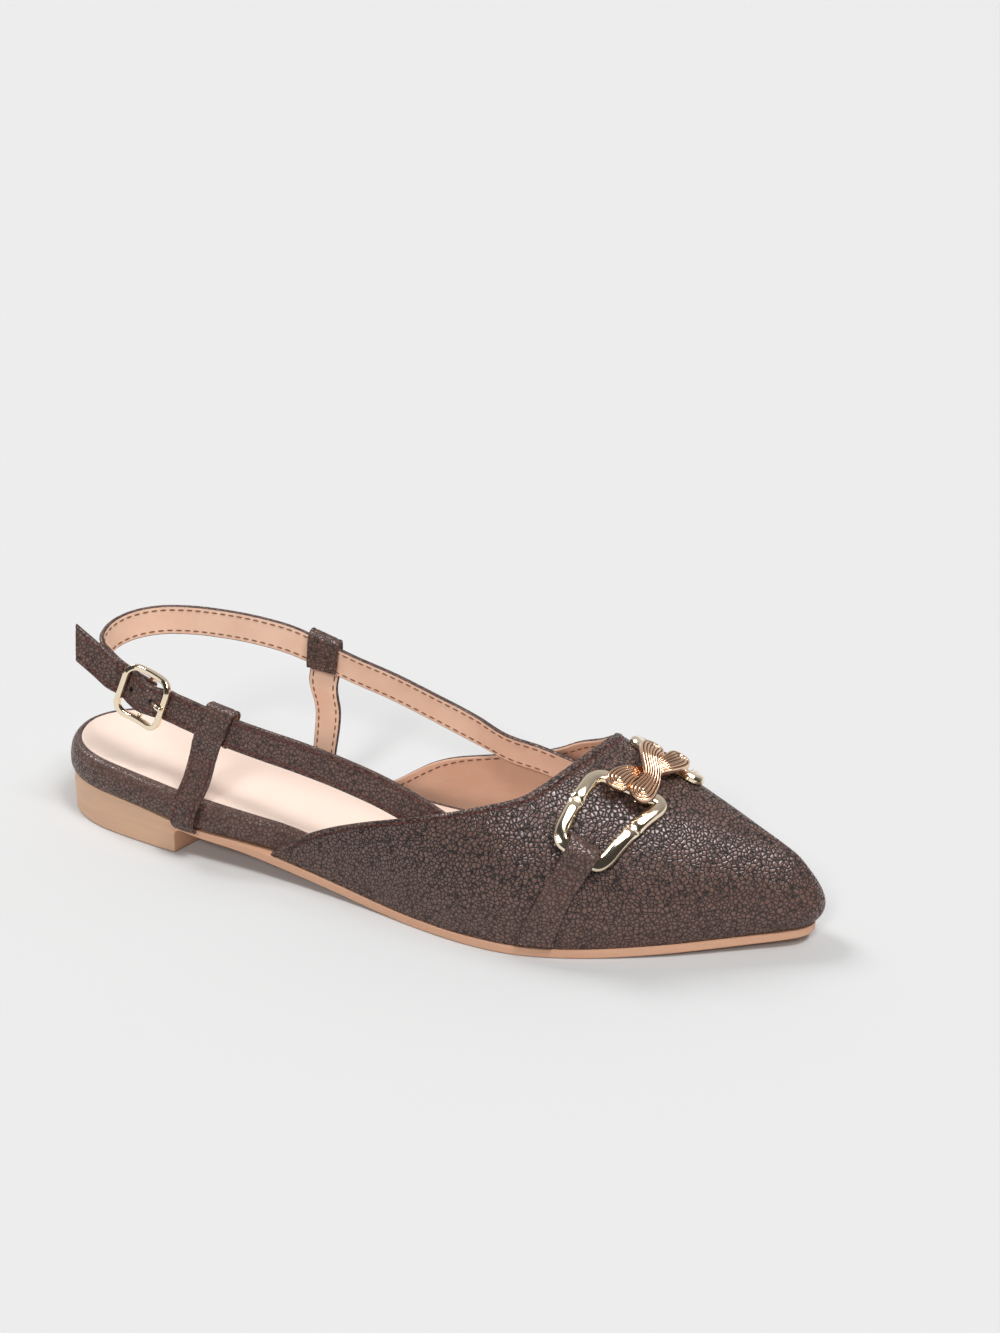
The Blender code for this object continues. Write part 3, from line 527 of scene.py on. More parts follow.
class Nodes:
    """Short words for building the node tree of a material or of the world."""

    def __init__(self, owner):
        self.tree = owner.node_tree
        self.coords = self.tree.nodes.new("ShaderNodeTexCoord").outputs["Object"]

    def add(self, kind, inputs=None, **settings):
        node = self.tree.nodes.new(kind)
        for key, value in settings.items():
            setattr(node, key, value)
        for key, value in (inputs or {}).items():
            if isinstance(value, bpy.types.NodeSocket):
                self.tree.links.new(value, node.inputs[key])
            else:
                node.inputs[key].default_value = value
        return node

    def link(self, output, socket):
        self.tree.links.new(output, socket)

    def noise(self, scale, detail=2.0, vector=None, output="Fac"):
        inputs = {"Vector": vector or self.coords, "Scale": scale, "Detail": detail}
        return self.add("ShaderNodeTexNoise", inputs).outputs[output]

    def cells(self, scale, vector, feature="DISTANCE_TO_EDGE", output="Distance"):
        node = self.add("ShaderNodeTexVoronoi", {"Vector": vector, "Scale": scale}, feature=feature)
        return node.outputs[output]

    def ramp(self, value, low, high, out_low=0.0, out_high=1.0, kind="SMOOTHSTEP"):
        inputs = {"Value": value, "From Min": low, "From Max": high, "To Min": out_low, "To Max": out_high}
        return self.add("ShaderNodeMapRange", inputs, interpolation_type=kind).outputs["Result"]

    def math(self, operation, a, b):
        return self.add("ShaderNodeMath", {0: a, 1: b}, operation=operation).outputs["Value"]

    def vector(self, operation, a, b):
        return self.add("ShaderNodeVectorMath", {0: a, 1: b}, operation=operation).outputs["Vector"]

    def stretched(self, scale):
        return self.add("ShaderNodeMapping", {"Vector": self.coords, "Scale": scale}).outputs["Vector"]

    def relief(self):
        """Point attribute that fades a grain or marks a groove."""
        return self.add("ShaderNodeAttribute", attribute_name="relief").outputs["Fac"]

    def mix(self, share, first, second):
        node = self.add("ShaderNodeMix", {0: share}, data_type="RGBA")
        for socket, colour in ((node.inputs[6], first), (node.inputs[7], second)):
            if isinstance(colour, bpy.types.NodeSocket):
                self.link(colour, socket)
            else:
                socket.default_value = (*colour, 1.0)
        return node.outputs[2]

    def bump(self, height, distance, before=None):
        inputs = {"Height": height, "Distance": distance}
        if before is not None:
            inputs["Normal"] = before
        return self.add("ShaderNodeBump", inputs).outputs["Normal"]


class Material(Nodes):
    """A new material with plain values, whose sockets can be fed from nodes."""

    def __init__(self, name, colour, rough, metallic=0.0):
        self.made = bpy.data.materials.new(name)
        self.made.use_nodes = True
        super().__init__(self.made)
        self.sockets = self.tree.nodes["Principled BSDF"].inputs
        self.sockets["Base Color"].default_value = (*colour, 1.0)
        self.sockets["Roughness"].default_value = rough
        self.sockets["Metallic"].default_value = metallic

    def feed(self, socket, output):
        self.link(output, self.sockets[socket])


# The first colour is painted shade laid into the valleys between the pebbles; the next two are the leather's
# own tones
LEATHER_VALLEY_SHADE = (0.004, 0.0018, 0.0013)
LEATHER_DARK = (0.138, 0.075, 0.060)
LEATHER = (0.168, 0.094, 0.076)
PEBBLE_SCALE = 780.0
PEBBLE_DEEP = 0.00012


def leather(name):
    """Dark brown leather with a grain of rounded pebbles and painted shade in the valleys between them, both
    faded by the relief attribute.
    """
    n = Material(name, LEATHER, 0.42)
    n.sockets["Specular IOR Level"].default_value = 0.5
    wander = n.vector("MULTIPLY", n.noise(420.0, 2.0, output="Color"), (0.0007,) * 3)
    warped = n.vector("ADD", n.coords, wander)
    share = n.ramp(n.cells(PEBBLE_SCALE, warped), 0.0, 0.40, kind="LINEAR")
    dome = n.math("MULTIPLY", share, n.math("SUBTRACT", 2.0, share))
    tall = n.ramp(n.cells(PEBBLE_SCALE, warped, "F1", "Color"), 0.0, 1.0, 0.7, 1.0, "LINEAR")
    relief = n.relief()
    height = n.math("MULTIPLY", n.math("MULTIPLY", dome, tall), relief)
    body = n.mix(n.ramp(n.noise(520.0, 4.0), 0.3, 0.7), LEATHER_DARK, LEATHER)
    # Painted shade: each pebble darkens towards the valleys at its edges, less so where the relief is low
    valley_shade = n.math("MULTIPLY", n.ramp(dome, 0.05, 1.0, 1.0, 0.0), relief)
    n.feed("Base Color", n.mix(valley_shade, body, LEATHER_VALLEY_SHADE))
    n.feed("Roughness", n.ramp(dome, 0.1, 0.7, 0.8, 0.26))
    pebbled = n.bump(height, PEBBLE_DEEP)
    n.feed("Normal", n.bump(n.noise(2600.0, 2.0), 0.000014, pebbled))
    return n.made


def soft_leather(name, colour, deep, rough=0.5, crease=0.0, pore=0.00005):
    """Smooth lining or sock leather with a faint mottling, fine pores and shallow level creases."""
    n = Material(name, colour, rough)
    n.feed("Base Color", n.mix(n.ramp(n.noise(90.0, 4.0), 0.35, 0.65), colour, deep))
    creased = n.bump(n.noise(1.0, 2.0, n.stretched((90.0, 90.0, 420.0))), crease)
    n.feed("Normal", n.bump(n.noise(1900.0, 4.0), pore, creased))
    return n.made


def moulded(name, colour, deep):
    """Matt moulded sole with faint streaks along its length."""
    n = Material(name, colour, 0.55)
    streaks = n.noise(1.0, 4.0, n.stretched((30.0, 160.0, 420.0)))
    n.feed("Base Color", n.mix(n.ramp(streaks, 0.35, 0.7), colour, deep))
    n.feed("Normal", n.bump(n.noise(2400.0, 3.0), 0.00004))
    return n.made


def polished(name, colour, rough):
    """Plated metal with faint wear in its shine."""
    n = Material(name, colour, rough, 1.0)
    n.feed("Roughness", n.ramp(n.noise(240.0, 3.0), 0.3, 0.7, rough * 0.8, rough * 1.25))
    n.feed("Normal", n.bump(n.noise(160.0, 2.0), 0.000006))
    return n.made


def stranded(name, colour, deep, rough):
    """Plated metal whose grooves, marked by the relief attribute, are dark and dull."""
    n = Material(name, colour, rough, 1.0)
    relief = n.ramp(n.relief(), 0.30, 0.80)
    n.feed("Base Color", n.mix(relief, deep, colour))
    n.feed("Roughness", n.ramp(relief, 0.0, 1.0, 0.55, rough, "LINEAR"))
    n.feed("Normal", n.bump(n.noise(700.0, 3.0), 0.00003))
    return n.made


def thread(name, colour, deep):
    """Twisted sewing thread."""
    n = Material(name, colour, 0.7)
    twist = n.noise(5200.0, 2.0)
    n.feed("Base Color", n.mix(n.ramp(twist, 0.35, 0.65), deep, colour))
    n.feed("Normal", n.bump(twist, 0.00008))
    return n.made


PEBBLED = leather("pebbled_leather")
LINING = soft_leather("peach_lining", (0.90, 0.625, 0.47), (0.86, 0.575, 0.425), 0.5, 0.0001)
# Darker copy of the peach lining: painted shade for the lining inside the upper
SHADED_VAMP_LINING = soft_leather("vamp_lining", (0.68, 0.42, 0.30), (0.64, 0.38, 0.265), 0.5, 0.0001)
SOCK = soft_leather("insole_leather", (0.79, 0.635, 0.545), (0.775, 0.615, 0.525), 0.55, 0.0, 0.00003)
TAN_HEEL = moulded("heel_tan", (0.70, 0.44, 0.285), (0.66, 0.41, 0.265))
TAN_EDGE = moulded("outsole_tan", (0.70, 0.40, 0.255), (0.66, 0.37, 0.235))
GOLD = polished("light_gold", (0.95, 0.80, 0.60), 0.08)
ROSE = stranded("rose_gold", (0.95, 0.66, 0.47), (0.11, 0.045, 0.022), 0.12)
THREAD_DARK = thread("thread_red_brown", (0.19, 0.042, 0.032), (0.05, 0.014, 0.011))
THREAD_LINING = thread("thread_brown", (0.22, 0.105, 0.06), (0.14, 0.06, 0.035))
# Painted shade: near-black colour for the dark insides of the punched holes
HOLE_SHADE = thread("punched_hole_shade", (0.010, 0.006, 0.005), (0.005, 0.003, 0.003))


# Meshes

def add_object(name, data):
    """Put a mesh, a camera or a light into the scene."""
    obj = bpy.data.objects.new(name, data)
    bpy.context.scene.collection.objects.link(obj)
    return obj


def mesh_piece(name, points, faces, materials, slots=None, relief=None):
    """A smooth-shaded piece from design points, with a material for each face."""
    mesh = bpy.data.meshes.new(name)
    mesh.from_pydata(place(points).tolist(), [], faces)
    for material in materials:
        mesh.materials.append(material)
    if slots is not None:
        mesh.polygons.foreach_set("material_index", np.asarray(slots, np.int32))
    mesh.polygons.foreach_set("use_smooth", np.ones(len(mesh.polygons), bool))
    values = np.ones(len(mesh.vertices)) if relief is None else relief
    attribute = mesh.attributes.new("relief", "FLOAT", "POINT")
    attribute.data.foreach_set("value", values.astype(np.float32))
    mesh.validate()
    mesh.update()
    return add_object(name, mesh)


def settle(obj, slot, *nodes):
    """Let a piece ride on the shoe and stand for CAD nodes; the slot is not used."""
    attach(obj, "root")
    if nodes:
        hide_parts(*nodes)


def join_ends(obj):
    """Weld the points that meet at the back of the heel or at the toe."""
    obj.modifiers.new("ends", "WELD").merge_threshold = 0.00008


def grid_faces(rows, columns, wrap_rows=False, wrap_columns=False):
    i = np.arange(rows if wrap_rows else rows - 1)[:, None]
    j = np.arange(columns if wrap_columns else columns - 1)[None, :]
    i, j = np.broadcast_arrays(i, j)
    below, right = (i + 1) % rows, (j + 1) % columns
    corners = [i * columns + j, below * columns + j, below * columns + right, i * columns + right]
    return np.stack(corners, axis=-1).reshape(-1, 4).tolist()


def sweep(rings, closed_path=False):
    """Faces over a stack of closed rings, with both ends capped unless the path is closed."""
    rows, columns = rings.shape[:2]
    faces = grid_faces(rows, columns, closed_path, True)
    if not closed_path:
        faces.append(list(range(columns))[::-1])
        faces.append([(rows - 1) * columns + j for j in range(columns)])
    return rings.reshape(-1, 3), faces


def even_steps(points, count):
    """Resample a polyline at equal steps; any columns after the third come along."""
    keys = arc_lengths(points)
    at = np.linspace(0.0, keys[-1], count)
    return np.stack([np.interp(at, keys, points[:, k]) for k in range(points.shape[1])], axis=1)


def edged_shares(rim, inner):
    """Shares across a strip that lie closer together at both of its edges."""
    rim = np.array(rim)
    return np.concatenate([rim, inner, 1.0 - rim[::-1]])


# Length, pitch and radius of a stitch in leather, in lining and on the chain straps
LEATHER_STITCH = (1.55, 2.1, 0.30)
LINING_STITCH = (2.1, 3.0, 0.26)
FINE_STITCH = (1.25, 1.75, 0.22)

# One stitch: share of its half length, share of its radius
STITCH_SHAPE = ((-1.0, 0.15), (-0.8, 0.75), (-0.3, 1.0), (0.3, 1.0), (0.8, 0.75), (1.0, 0.15))
STITCH_SIDES = 6
THREAD_SUNK = 0.12

# Thread, record slot and size of the stitches outside and inside
OUTSIDE = (THREAD_DARK, "leather", LEATHER_STITCH)
INSIDE = (THREAD_LINING, "insole", LINING_STITCH)


def stitches(name, lines, material, slot, size):
    """Rows of thread: each line is points with the surface's normals, and gets one bead for each stitch."""
    length, pitch, radius = size
    shape = []
    for along, fat in STITCH_SHAPE:
        for k in range(STITCH_SIDES):
            a = 2 * math.pi * k / STITCH_SIDES
            shape.append((along * length / 2, fat * radius * math.cos(a), fat * radius * math.sin(a)))
    shape = np.array(shape)
    single = grid_faces(len(STITCH_SHAPE), STITCH_SIDES, False, True)
    points, faces = [], []
    for line in lines:
        count = max(2, int(arc_lengths(line)[-1] / pitch))
        marks = even_steps(line, 2 * count + 1)
        for k in range(1, 2 * count, 2):
            direction = unit(marks[k + 1, :3] - marks[k - 1, :3])
            normal = square_to(marks[k, 3:6], direction[None, :])[0]
            side = np.cross(normal, direction)
            base = len(points) * len(shape)
            points.append(marks[k, :3] + shape @ np.stack([direction, side, normal]))
            faces += [[base + i for i in face] for face in single]
    obj = mesh_piece(name, np.concatenate(points), faces, [material])
    settle(obj, slot)


# Sole, footbed and insole

HEEL_ROUND = 0.9
SOLE_ROUND = 0.7
BREAST = 59.4
BREAST_REACH = 15.0
BREAST_MIDDLE = -3.0
BREAST_SKEW = 0.125
BREAST_BOW = 0.002


def fan(radius, count):
    """Quarter round as (inwards, upwards) steps from the side to the underside."""
    turns = np.linspace(0.0, math.pi / 2, count)
    return [(radius * (1 - math.cos(a)), radius * (1 - math.sin(a))) for a in turns]


# Breast of the heel: x from its edge, height of the underside
BREAST_STEP = (
    (-0.6, 0.0),
    (-0.3, 0.2),
    (-0.1, 0.8),
    (0.0, 2.0),
    (0.05, 6.2),
    (0.25, 7.3),
    (0.8, 8.1),
    (2.4, 8.5),
)


def sole_piece():
    us = list(np.concatenate([[0.004], np.linspace(0.012, station(BREAST - 1.2), 44)]))
    lows = [0.0] * len(us)
    for x, z in BREAST_STEP:
        us.append(station(BREAST + x))
        lows.append(z)
    for u in np.concatenate([np.linspace(station(WAIST_START), 0.975, 90), np.linspace(0.979, 0.998, 10)]):
        us.append(u)
        lows.append(max(0.0, follow(PROFILE, UNDERSIDE, length_at(u))))
    rings, in_heel = [], []
    for u, low in zip(us, lows):
        x = length_at(u)
        top = follow(PROFILE, SOLE_TOP, x)
        radius = HEEL_ROUND if x < BREAST - 0.4 else SOLE_ROUND
        ring = []
        for side in (LATERAL, MEDIAL):
            half = [(*edge(u, side), top)]
            half += [(*edge(u, side, -inwards), low + up) for inwards, up in fan(radius, 7)]
            ring += half if side == LATERAL else half[::-1]
        lateral_low, medial_low = np.array(ring[7]), np.array(ring[8])
        inner = [lateral_low + (medial_low - lateral_low) * s for s in (0.25, 0.5, 0.75)]
        ring = np.array(ring[:8] + inner + ring[8:])
        near = math.exp(-((x - BREAST) / BREAST_REACH) ** 2)
        y = ring[:, 1] - BREAST_MIDDLE
        ring[:, 0] += near * (BREAST_SKEW * y - BREAST_BOW * y * y)
        rings.append(ring)
        in_heel.append(x < BREAST)
    points, faces = sweep(np.array(rings))
    slots = np.repeat(np.where(in_heel[1:], 0, 1), len(rings[0]))
    obj = mesh_piece("sole_unit", points, faces, [TAN_HEEL, TAN_EDGE], np.append(slots, [0, 1]))
    obj.data.set_sharp_from_angle(angle=math.radians(40))
    settle(obj, "sole", "sole")


# Section of the leather-covered footbed: out from the rim's edge, share of the height
RIM_SECTION = (
    (-1.2, 0.0),
    (-0.3, 0.10),
    (0.0, 0.34),
    (-0.25, 0.60),
    (-1.0, 0.83),
    (-2.0, 0.96),
)
RECESS_DEEP = 1.3
RIM_GRAIN = 0.7


def foot_stations(last):
    back, waist = np.linspace(0.0, 0.06, 15), np.linspace(0.066, 0.40, 60)
    return np.concatenate([back, waist, np.linspace(0.408, last, 70)])


def footbed_piece():
    rings = []
    for u in foot_stations(0.9):
        x = length_at(u)
        low = follow(PROFILE, SOLE_TOP, x) + GAP
        high = follow(PROFILE, INSOLE_TOP, x)
        reach = follow(RIM, 1, x)
        width = follow(RIM, 2, x)
        rows = [(out, (high - low) * share, 0.0) for out, share in RIM_SECTION]
        rows.append((0.5 - width, high - low, 0.0))
        section = [(out, low + up) for out, up, _ in through(rows, 26)]
        section += [(0.15 - width, high - 0.15), (-width, high - 0.5), (-width, high - RECESS_DEEP)]
        ring = [(*edge(u, LATERAL, reach + out), z) for out, z in section]
        ring += [(*edge(u, MEDIAL, reach + out), z) for out, z in reversed(section)]
        rings.append(ring)
    points, faces = sweep(np.array(rings))
    obj = mesh_piece("footbed_rim", points, faces, [PEBBLED], relief=np.full(len(points), RIM_GRAIN))
    join_ends(obj)
    settle(obj, "leather", "footbed")


SOCK_DISH = 0.12
SOCK_GAP = 0.12
SOCK_ROLL = 0.40
SOCK_ROLL_WIDE = 0.8


def insole_piece():
    rings = []
    shares = edged_shares((0.0, 0.004, 0.01, 0.02), np.linspace(0.04, 0.96, 23))
    for u in foot_stations(0.895):
        x = length_at(u)
        high = follow(PROFILE, INSOLE_TOP, x)
        reach = follow(RIM, 1, x) - follow(RIM, 2, x) - SOCK_GAP
        low = high - RECESS_DEEP + GAP
        first, last = edge(u, LATERAL, reach), edge(u, MEDIAL, reach)
        wide = np.linalg.norm(last - first)
        ring = [(*first, low)]
        for share in shares:
            rim = min(share, 1 - share) * wide
            roll = SOCK_ROLL * max(0.0, 1.0 - rim / SOCK_ROLL_WIDE) ** 2
            dish = SOCK_DISH * math.sin(math.pi * share) ** 2
            ring.append((*(first + (last - first) * share), high - roll - dish))
        ring.append((*last, low))
        rings.append(ring)
    obj = mesh_piece("insole_sock", *sweep(np.array(rings)), [SOCK])
    join_ends(obj)
    settle(obj, "insole", "insole")


# Upper with its lining

# Soft creases: turn and x of both ends, depth, half width
CREASES = (
    (62.0, 196.5, 88.0, 199.0, 0.22, 1.6),
    (58.0, 192.5, 80.0, 195.5, 0.16, 1.2),
    (96.0, 199.5, 124.0, 196.0, 0.22, 1.8),
    (26.0, 226.0, 70.0, 229.0, 0.16, 3.0),
    (110.0, 229.0, 154.0, 226.0, 0.16, 3.0),
    (14.0, 130.0, 26.0, 152.0, 0.28, 4.5),
    (10.0, 150.0, 24.0, 170.0, 0.22, 5.0),
    (154.0, 150.0, 166.0, 132.0, 0.28, 4.5),
)
DEGREE_MM = 0.72
CREASE_RIDGE = 0.45


def crease_depth(turn, x):
    """How far the listed creases press the leather in."""
    depth = np.zeros_like(turn)
    here = np.stack([turn * DEGREE_MM, x], axis=-1)
    for turn_a, x_a, turn_b, x_b, deep, wide in CREASES:
        a, b = np.array([turn_a * DEGREE_MM, x_a]), np.array([turn_b * DEGREE_MM, x_b])
        run = b - a
        share = np.clip(((here - a) @ run) / (run @ run), 0.0, 1.0)
        away = np.linalg.norm(here - a - share[..., None] * run, axis=-1)
        fade = np.sin(np.pi * np.clip(share, 0.02, 0.98)) ** 0.5
        trough = np.exp(-((away / wide) ** 2))
        ridge = np.exp(-(((away - 2 * wide) / wide) ** 2))
        depth += deep * fade * (trough - CREASE_RIDGE * ridge)
    return depth


# Rolled top edge of the upper: how wide it is and how far the seam below it is drawn in
EDGE_ROLL = 2.0
EDGE_PUFF = 0.22
SEAM_DEEP = 0.28
SEAM_HALF = 0.5


def even_turns(count):
    """Turns from foot to foot whose steps over the arch are about equal, the same on both sides."""
    turns = np.linspace(0.0, 90.0, 361)
    arch = upper_point(station(200.0), turns)
    keys = arc_lengths(arch)
    half = np.interp(np.linspace(0.0, keys[-1], count), keys, turns)
    return np.concatenate([half, 180.0 - half[-2::-1]])


def upper_grid(turns, near, rows):
    """Outer points of the upper: rows close behind its top line, then on to the toe."""
    start = station(follow(TOPLINE, 1, turns))
    step = upper_point(start + NORMAL_STEP, turns) - upper_point(start, turns)
    pace = np.linalg.norm(step, axis=1) / NORMAL_STEP
    first = start + near[:, None] / pace
    share = np.linspace(0.0, 1.0, rows + 1)[1:, None] ** 0.92
    u = np.concatenate([first, first[-1] + (1.0 - first[-1]) * share])
    grid = upper_point(u, turns[None, :])
    grid[-1] = (grid[-1] + grid[-1, ::-1]) / 2
    return grid, u


def grid_normals(grid):
    """Normals of a grid whose last row closes on itself at the toe."""
    normal = np.cross(np.gradient(grid, axis=0), np.gradient(grid, axis=1))
    normal = unit(normal)
    normal[-1] = unit(normal[-2] + normal[-2, ::-1])
    return normal


def lip(outer, normal, start, stop, count):
    """Rounded top edge between the leather and the lining, from one angle to another."""
    back = -unit(outer[1] - outer[0])
    middle = outer[0] - normal[0] * WALL / 2
    turns = np.radians(np.linspace(start, stop, count))
    return np.array([middle + WALL / 2 * (normal[0] * math.cos(a) + back * math.sin(a)) for a in turns])


def rolled_edge(away):
    """How far the leather stands out near its top line, at a distance from it."""
    puff = EDGE_PUFF * np.sin(np.pi * np.clip(away / EDGE_ROLL, 0.0, 1.0))
    return puff - SEAM_DEEP * np.exp(-(((away - EDGE_ROLL) / SEAM_HALF) ** 2))


TOPLINE_REACH = 5.2
VAMP_ROWS = 140
FAR_AWAY = 50.0
LIP_TURN = 112.0

# Grain near the sole, where it starts to grow with height, and over what height
LOW_GRAIN = 0.75
GRAIN_FROM = 8.0
GRAIN_OVER = 16.0


def vamp_piece():
    turns = even_turns(121)
    near = np.linspace(0.0, TOPLINE_REACH, 20)
    outer, u = upper_grid(turns, near, VAMP_ROWS)
    normal = grid_normals(outer)
    away = np.concatenate([near, np.full(VAMP_ROWS, FAR_AWAY)])
    out = rolled_edge(away)[:, None] - crease_depth(np.broadcast_to(turns, u.shape), length_at(u))
    skin = outer + normal * out[..., None]
    skin = np.concatenate([lip(outer, normal, LIP_TURN, 14.0, 9), skin])
    rows, columns = skin.shape[:2]
    relief = LOW_GRAIN + (1.0 - LOW_GRAIN) * np.clip((skin[..., 2] - GRAIN_FROM) / GRAIN_OVER, 0.0, 1.0)
    faces = grid_faces(rows, columns)
    obj = mesh_piece("vamp_leather", skin.reshape(-1, 3), faces, [PEBBLED], relief=relief.ravel())
    join_ends(obj)
    settle(obj, "leather", "vamp")
    coarse = slice(None, None, 2)
    inner = outer[coarse, coarse] - normal[coarse, coarse] * WALL
    edge_rows = lip(outer, normal, LIP_TURN, 180.0, 6)[:, coarse]
    lining = np.concatenate([edge_rows[:-1], inner])
    rows, columns = lining.shape[:2]
    faces = [face[::-1] for face in grid_faces(rows, columns)]
    settle(mesh_piece("vamp_lining", lining.reshape(-1, 3), faces, [SHADED_VAMP_LINING]), "insole")


def topline_run(inset, out, first, last):
    """Points and normals that follow the top line at a distance from it, over a span of turns."""
    turns = np.linspace(first, last, 420)
    start = station(follow(TOPLINE, 1, turns))
    near, ahead = upper_point(start, turns), upper_point(start + 0.01, turns)
    u = start + 0.01 * inset / np.linalg.norm(ahead - near, axis=1)
    normal = upper_normal(u, turns)
    return np.hstack([upper_point(u, turns) + normal * out, normal if out > -WALL / 2 else -normal])


def vamp_stitches():
    outside = topline_run(EDGE_ROLL, 0.08 - SEAM_DEEP, 2.0, 178.0)
    stitches("vamp_topline_stitches", [outside], *OUTSIDE)
    inside = topline_run(2.3, -WALL - 0.02, 3.0, 177.0)
    stitches("lining_topline_stitches", [inside], *INSIDE)


# Straps

EDGE_SOFT = 0.6
EDGE_STITCH = 1.5
STRAP_GRAIN = 0.8
SEAT_CLEAR = 0.6
SEAT_REACH = 4.8
LEANING_ROWS = 5
BAR_CLEAR = 0.25
THIN_FROM = 53
THIN_STEP = 0.14
GROOVE_DEEP = 0.14
GROOVE_HALF = 0.4
STRAP_SKEW = 3.6
SKEW_REACH = 9.0
STITCH_START = 8.0
TAIL_MARGIN = 1.6
FOLD_MARGIN = 26.0


def band_section(half):
    """Section of a strap one thick, as (across, out): leather face, edge, lining face, edge."""
    face = np.linspace(-half + EDGE_SOFT, half - EDGE_SOFT, 33)
    groove = GROOVE_DEEP * np.exp(-(((np.abs(face) - (half - EDGE_STITCH)) / GROOVE_HALF) ** 2))
    top = [(a, 0.5 - g) for a, g in zip(face, groove)]
    turns = np.radians(np.linspace(75.0, -75.0, 7))
    right = [(half - EDGE_SOFT + EDGE_SOFT * math.cos(a), 0.5 * math.sin(a)) for a in turns]
    bottom = [(a, -0.5) for a in face[::-2]]
    left = [(-a, -b) for a, b in right]
    return np.array(top + right + bottom + left), len(top) + len(right), len(bottom)


def band(name, path, across, half, thick, leather_out, skew=0.0, taper=1.0):
    """Strap along a path; leather_out is 1 where its leather faces along path cross width, else -1."""
    tangent = tangents(path)
    side = square_to(across, tangent) * np.broadcast_to(taper, (len(path),))[:, None]
    out = unit(np.cross(tangent, side)) * leather_out
    section, lining_first, lining_count = band_section(half)
    thick = np.broadcast_to(thick, (len(path),))
    rings = path[:, None, :] + side[:, None, :] * section[None, :, :1]
    rings = rings + out[:, None, :] * section[None, :, 1:] * thick[:, None, None]
    keys = arc_lengths(path)
    ramp = np.clip(1.0 - (keys[-1] - keys) / SKEW_REACH, 0.0, 1.0)
    rings = rings + tangent[:, None, :] * (skew * ramp[:, None] * section[None, :, 0] / half)[..., None]
    points, faces = sweep(rings)
    cells = np.tile(np.arange(len(section)), len(path) - 1)
    lined = (cells >= lining_first - 1) & (cells < lining_first + lining_count)
    slots = np.concatenate([lined.astype(int), [0, 0]])
    if leather_out < 0:
        faces = [face[::-1] for face in faces]
    return mesh_piece(name, points, faces, [PEBBLED, LINING], slots, np.full(len(points), STRAP_GRAIN))


def seated(rows, side):
    """Middle and lean of a strap lying against the inside of the upper."""
    inward = WALL + GAP + STRAP_THICK / 2 + SEAT_CLEAR
    middles, leans = [], []
    for x, z in rows:
        ends = (z + SEAT_REACH, z - SEAT_REACH)
        high, low = (np.array([x, wall_y(x, at, side, inward), at]) for at in ends)
        middles.append((high + low) / 2)
        leans.append(unit(high - low))
    return middles, leans


def band_line(path, across, arc, offset, height):
    """Points and normals on a strap: lengths along it, offsets across it, height from its middle."""
    tangent = tangents(path)
    side = square_to(across, tangent)
    out = np.cross(tangent, side)
    keys = arc_lengths(path)

    def at(values):
        return np.stack([np.interp(arc, keys, values[:, k]) for k in range(3)], axis=1)

    offset = np.broadcast_to(offset, np.shape(arc))
    normal = at(out)
    points = at(path) + at(side) * offset[:, None] + normal * height
    return np.hstack([points, normal * np.sign(height)])


def edge_lines(path, across, arc, inset, height):
    """Both edge seams of a strap."""
    return [band_line(path, across, arc, sign * inset, height) for sign in (-1.0, 1.0)]


def sling_path():
    middles, leans = seated(LATERAL_SEAT, LATERAL)
    middles += LATERAL_RUN
    leans += [(0.0, 0.2, 1.0)] * len(LATERAL_RUN)
    end = [at_buckle(*row) for row in WEAVE] + list(LATERAL_TAIL)
    fine = through(np.hstack([middles + end, leans + [BUCKLE_UP] * len(end)]), 420)
    return fine[:, :3], fine[:, 3:]


def heel_path():
    middles, leans = seated(HEEL_SEAT, MEDIAL)
    middles += list(HEEL_RUN) + buckle_run(FOLD_RUN)
    leans += [(0.0, -0.10, 1.0)] * LEANING_ROWS
    leans += [(0.0, 0.0, 1.0)] * (len(HEEL_RUN) - LEANING_ROWS) + [BUCKLE_UP] * len(FOLD_RUN)
    run = through(np.hstack([middles, leans]), 58)
    radius = BAR_RADIUS + BAR_CLEAR + FOLD_THICK / 2
    end = buckle_run(FOLD_NEAR) + bar_turn(radius, FOLD_TURNS) + buckle_run(FOLD_BACK)
    free = np.concatenate([run[:, :3], end])
    lean = np.concatenate([run[:, 3:], np.broadcast_to(BUCKLE_UP, (len(end), 3))])
    steps = np.arange(len(free)) - THIN_FROM
    thick = np.where(steps > 0, np.maximum(FOLD_THICK, STRAP_THICK - THIN_STEP * steps), STRAP_THICK)
    fine = through(np.hstack([free, lean, thick[:, None]]), 420)
    return fine[:, :3], fine[:, 3:6], fine[:, 6]


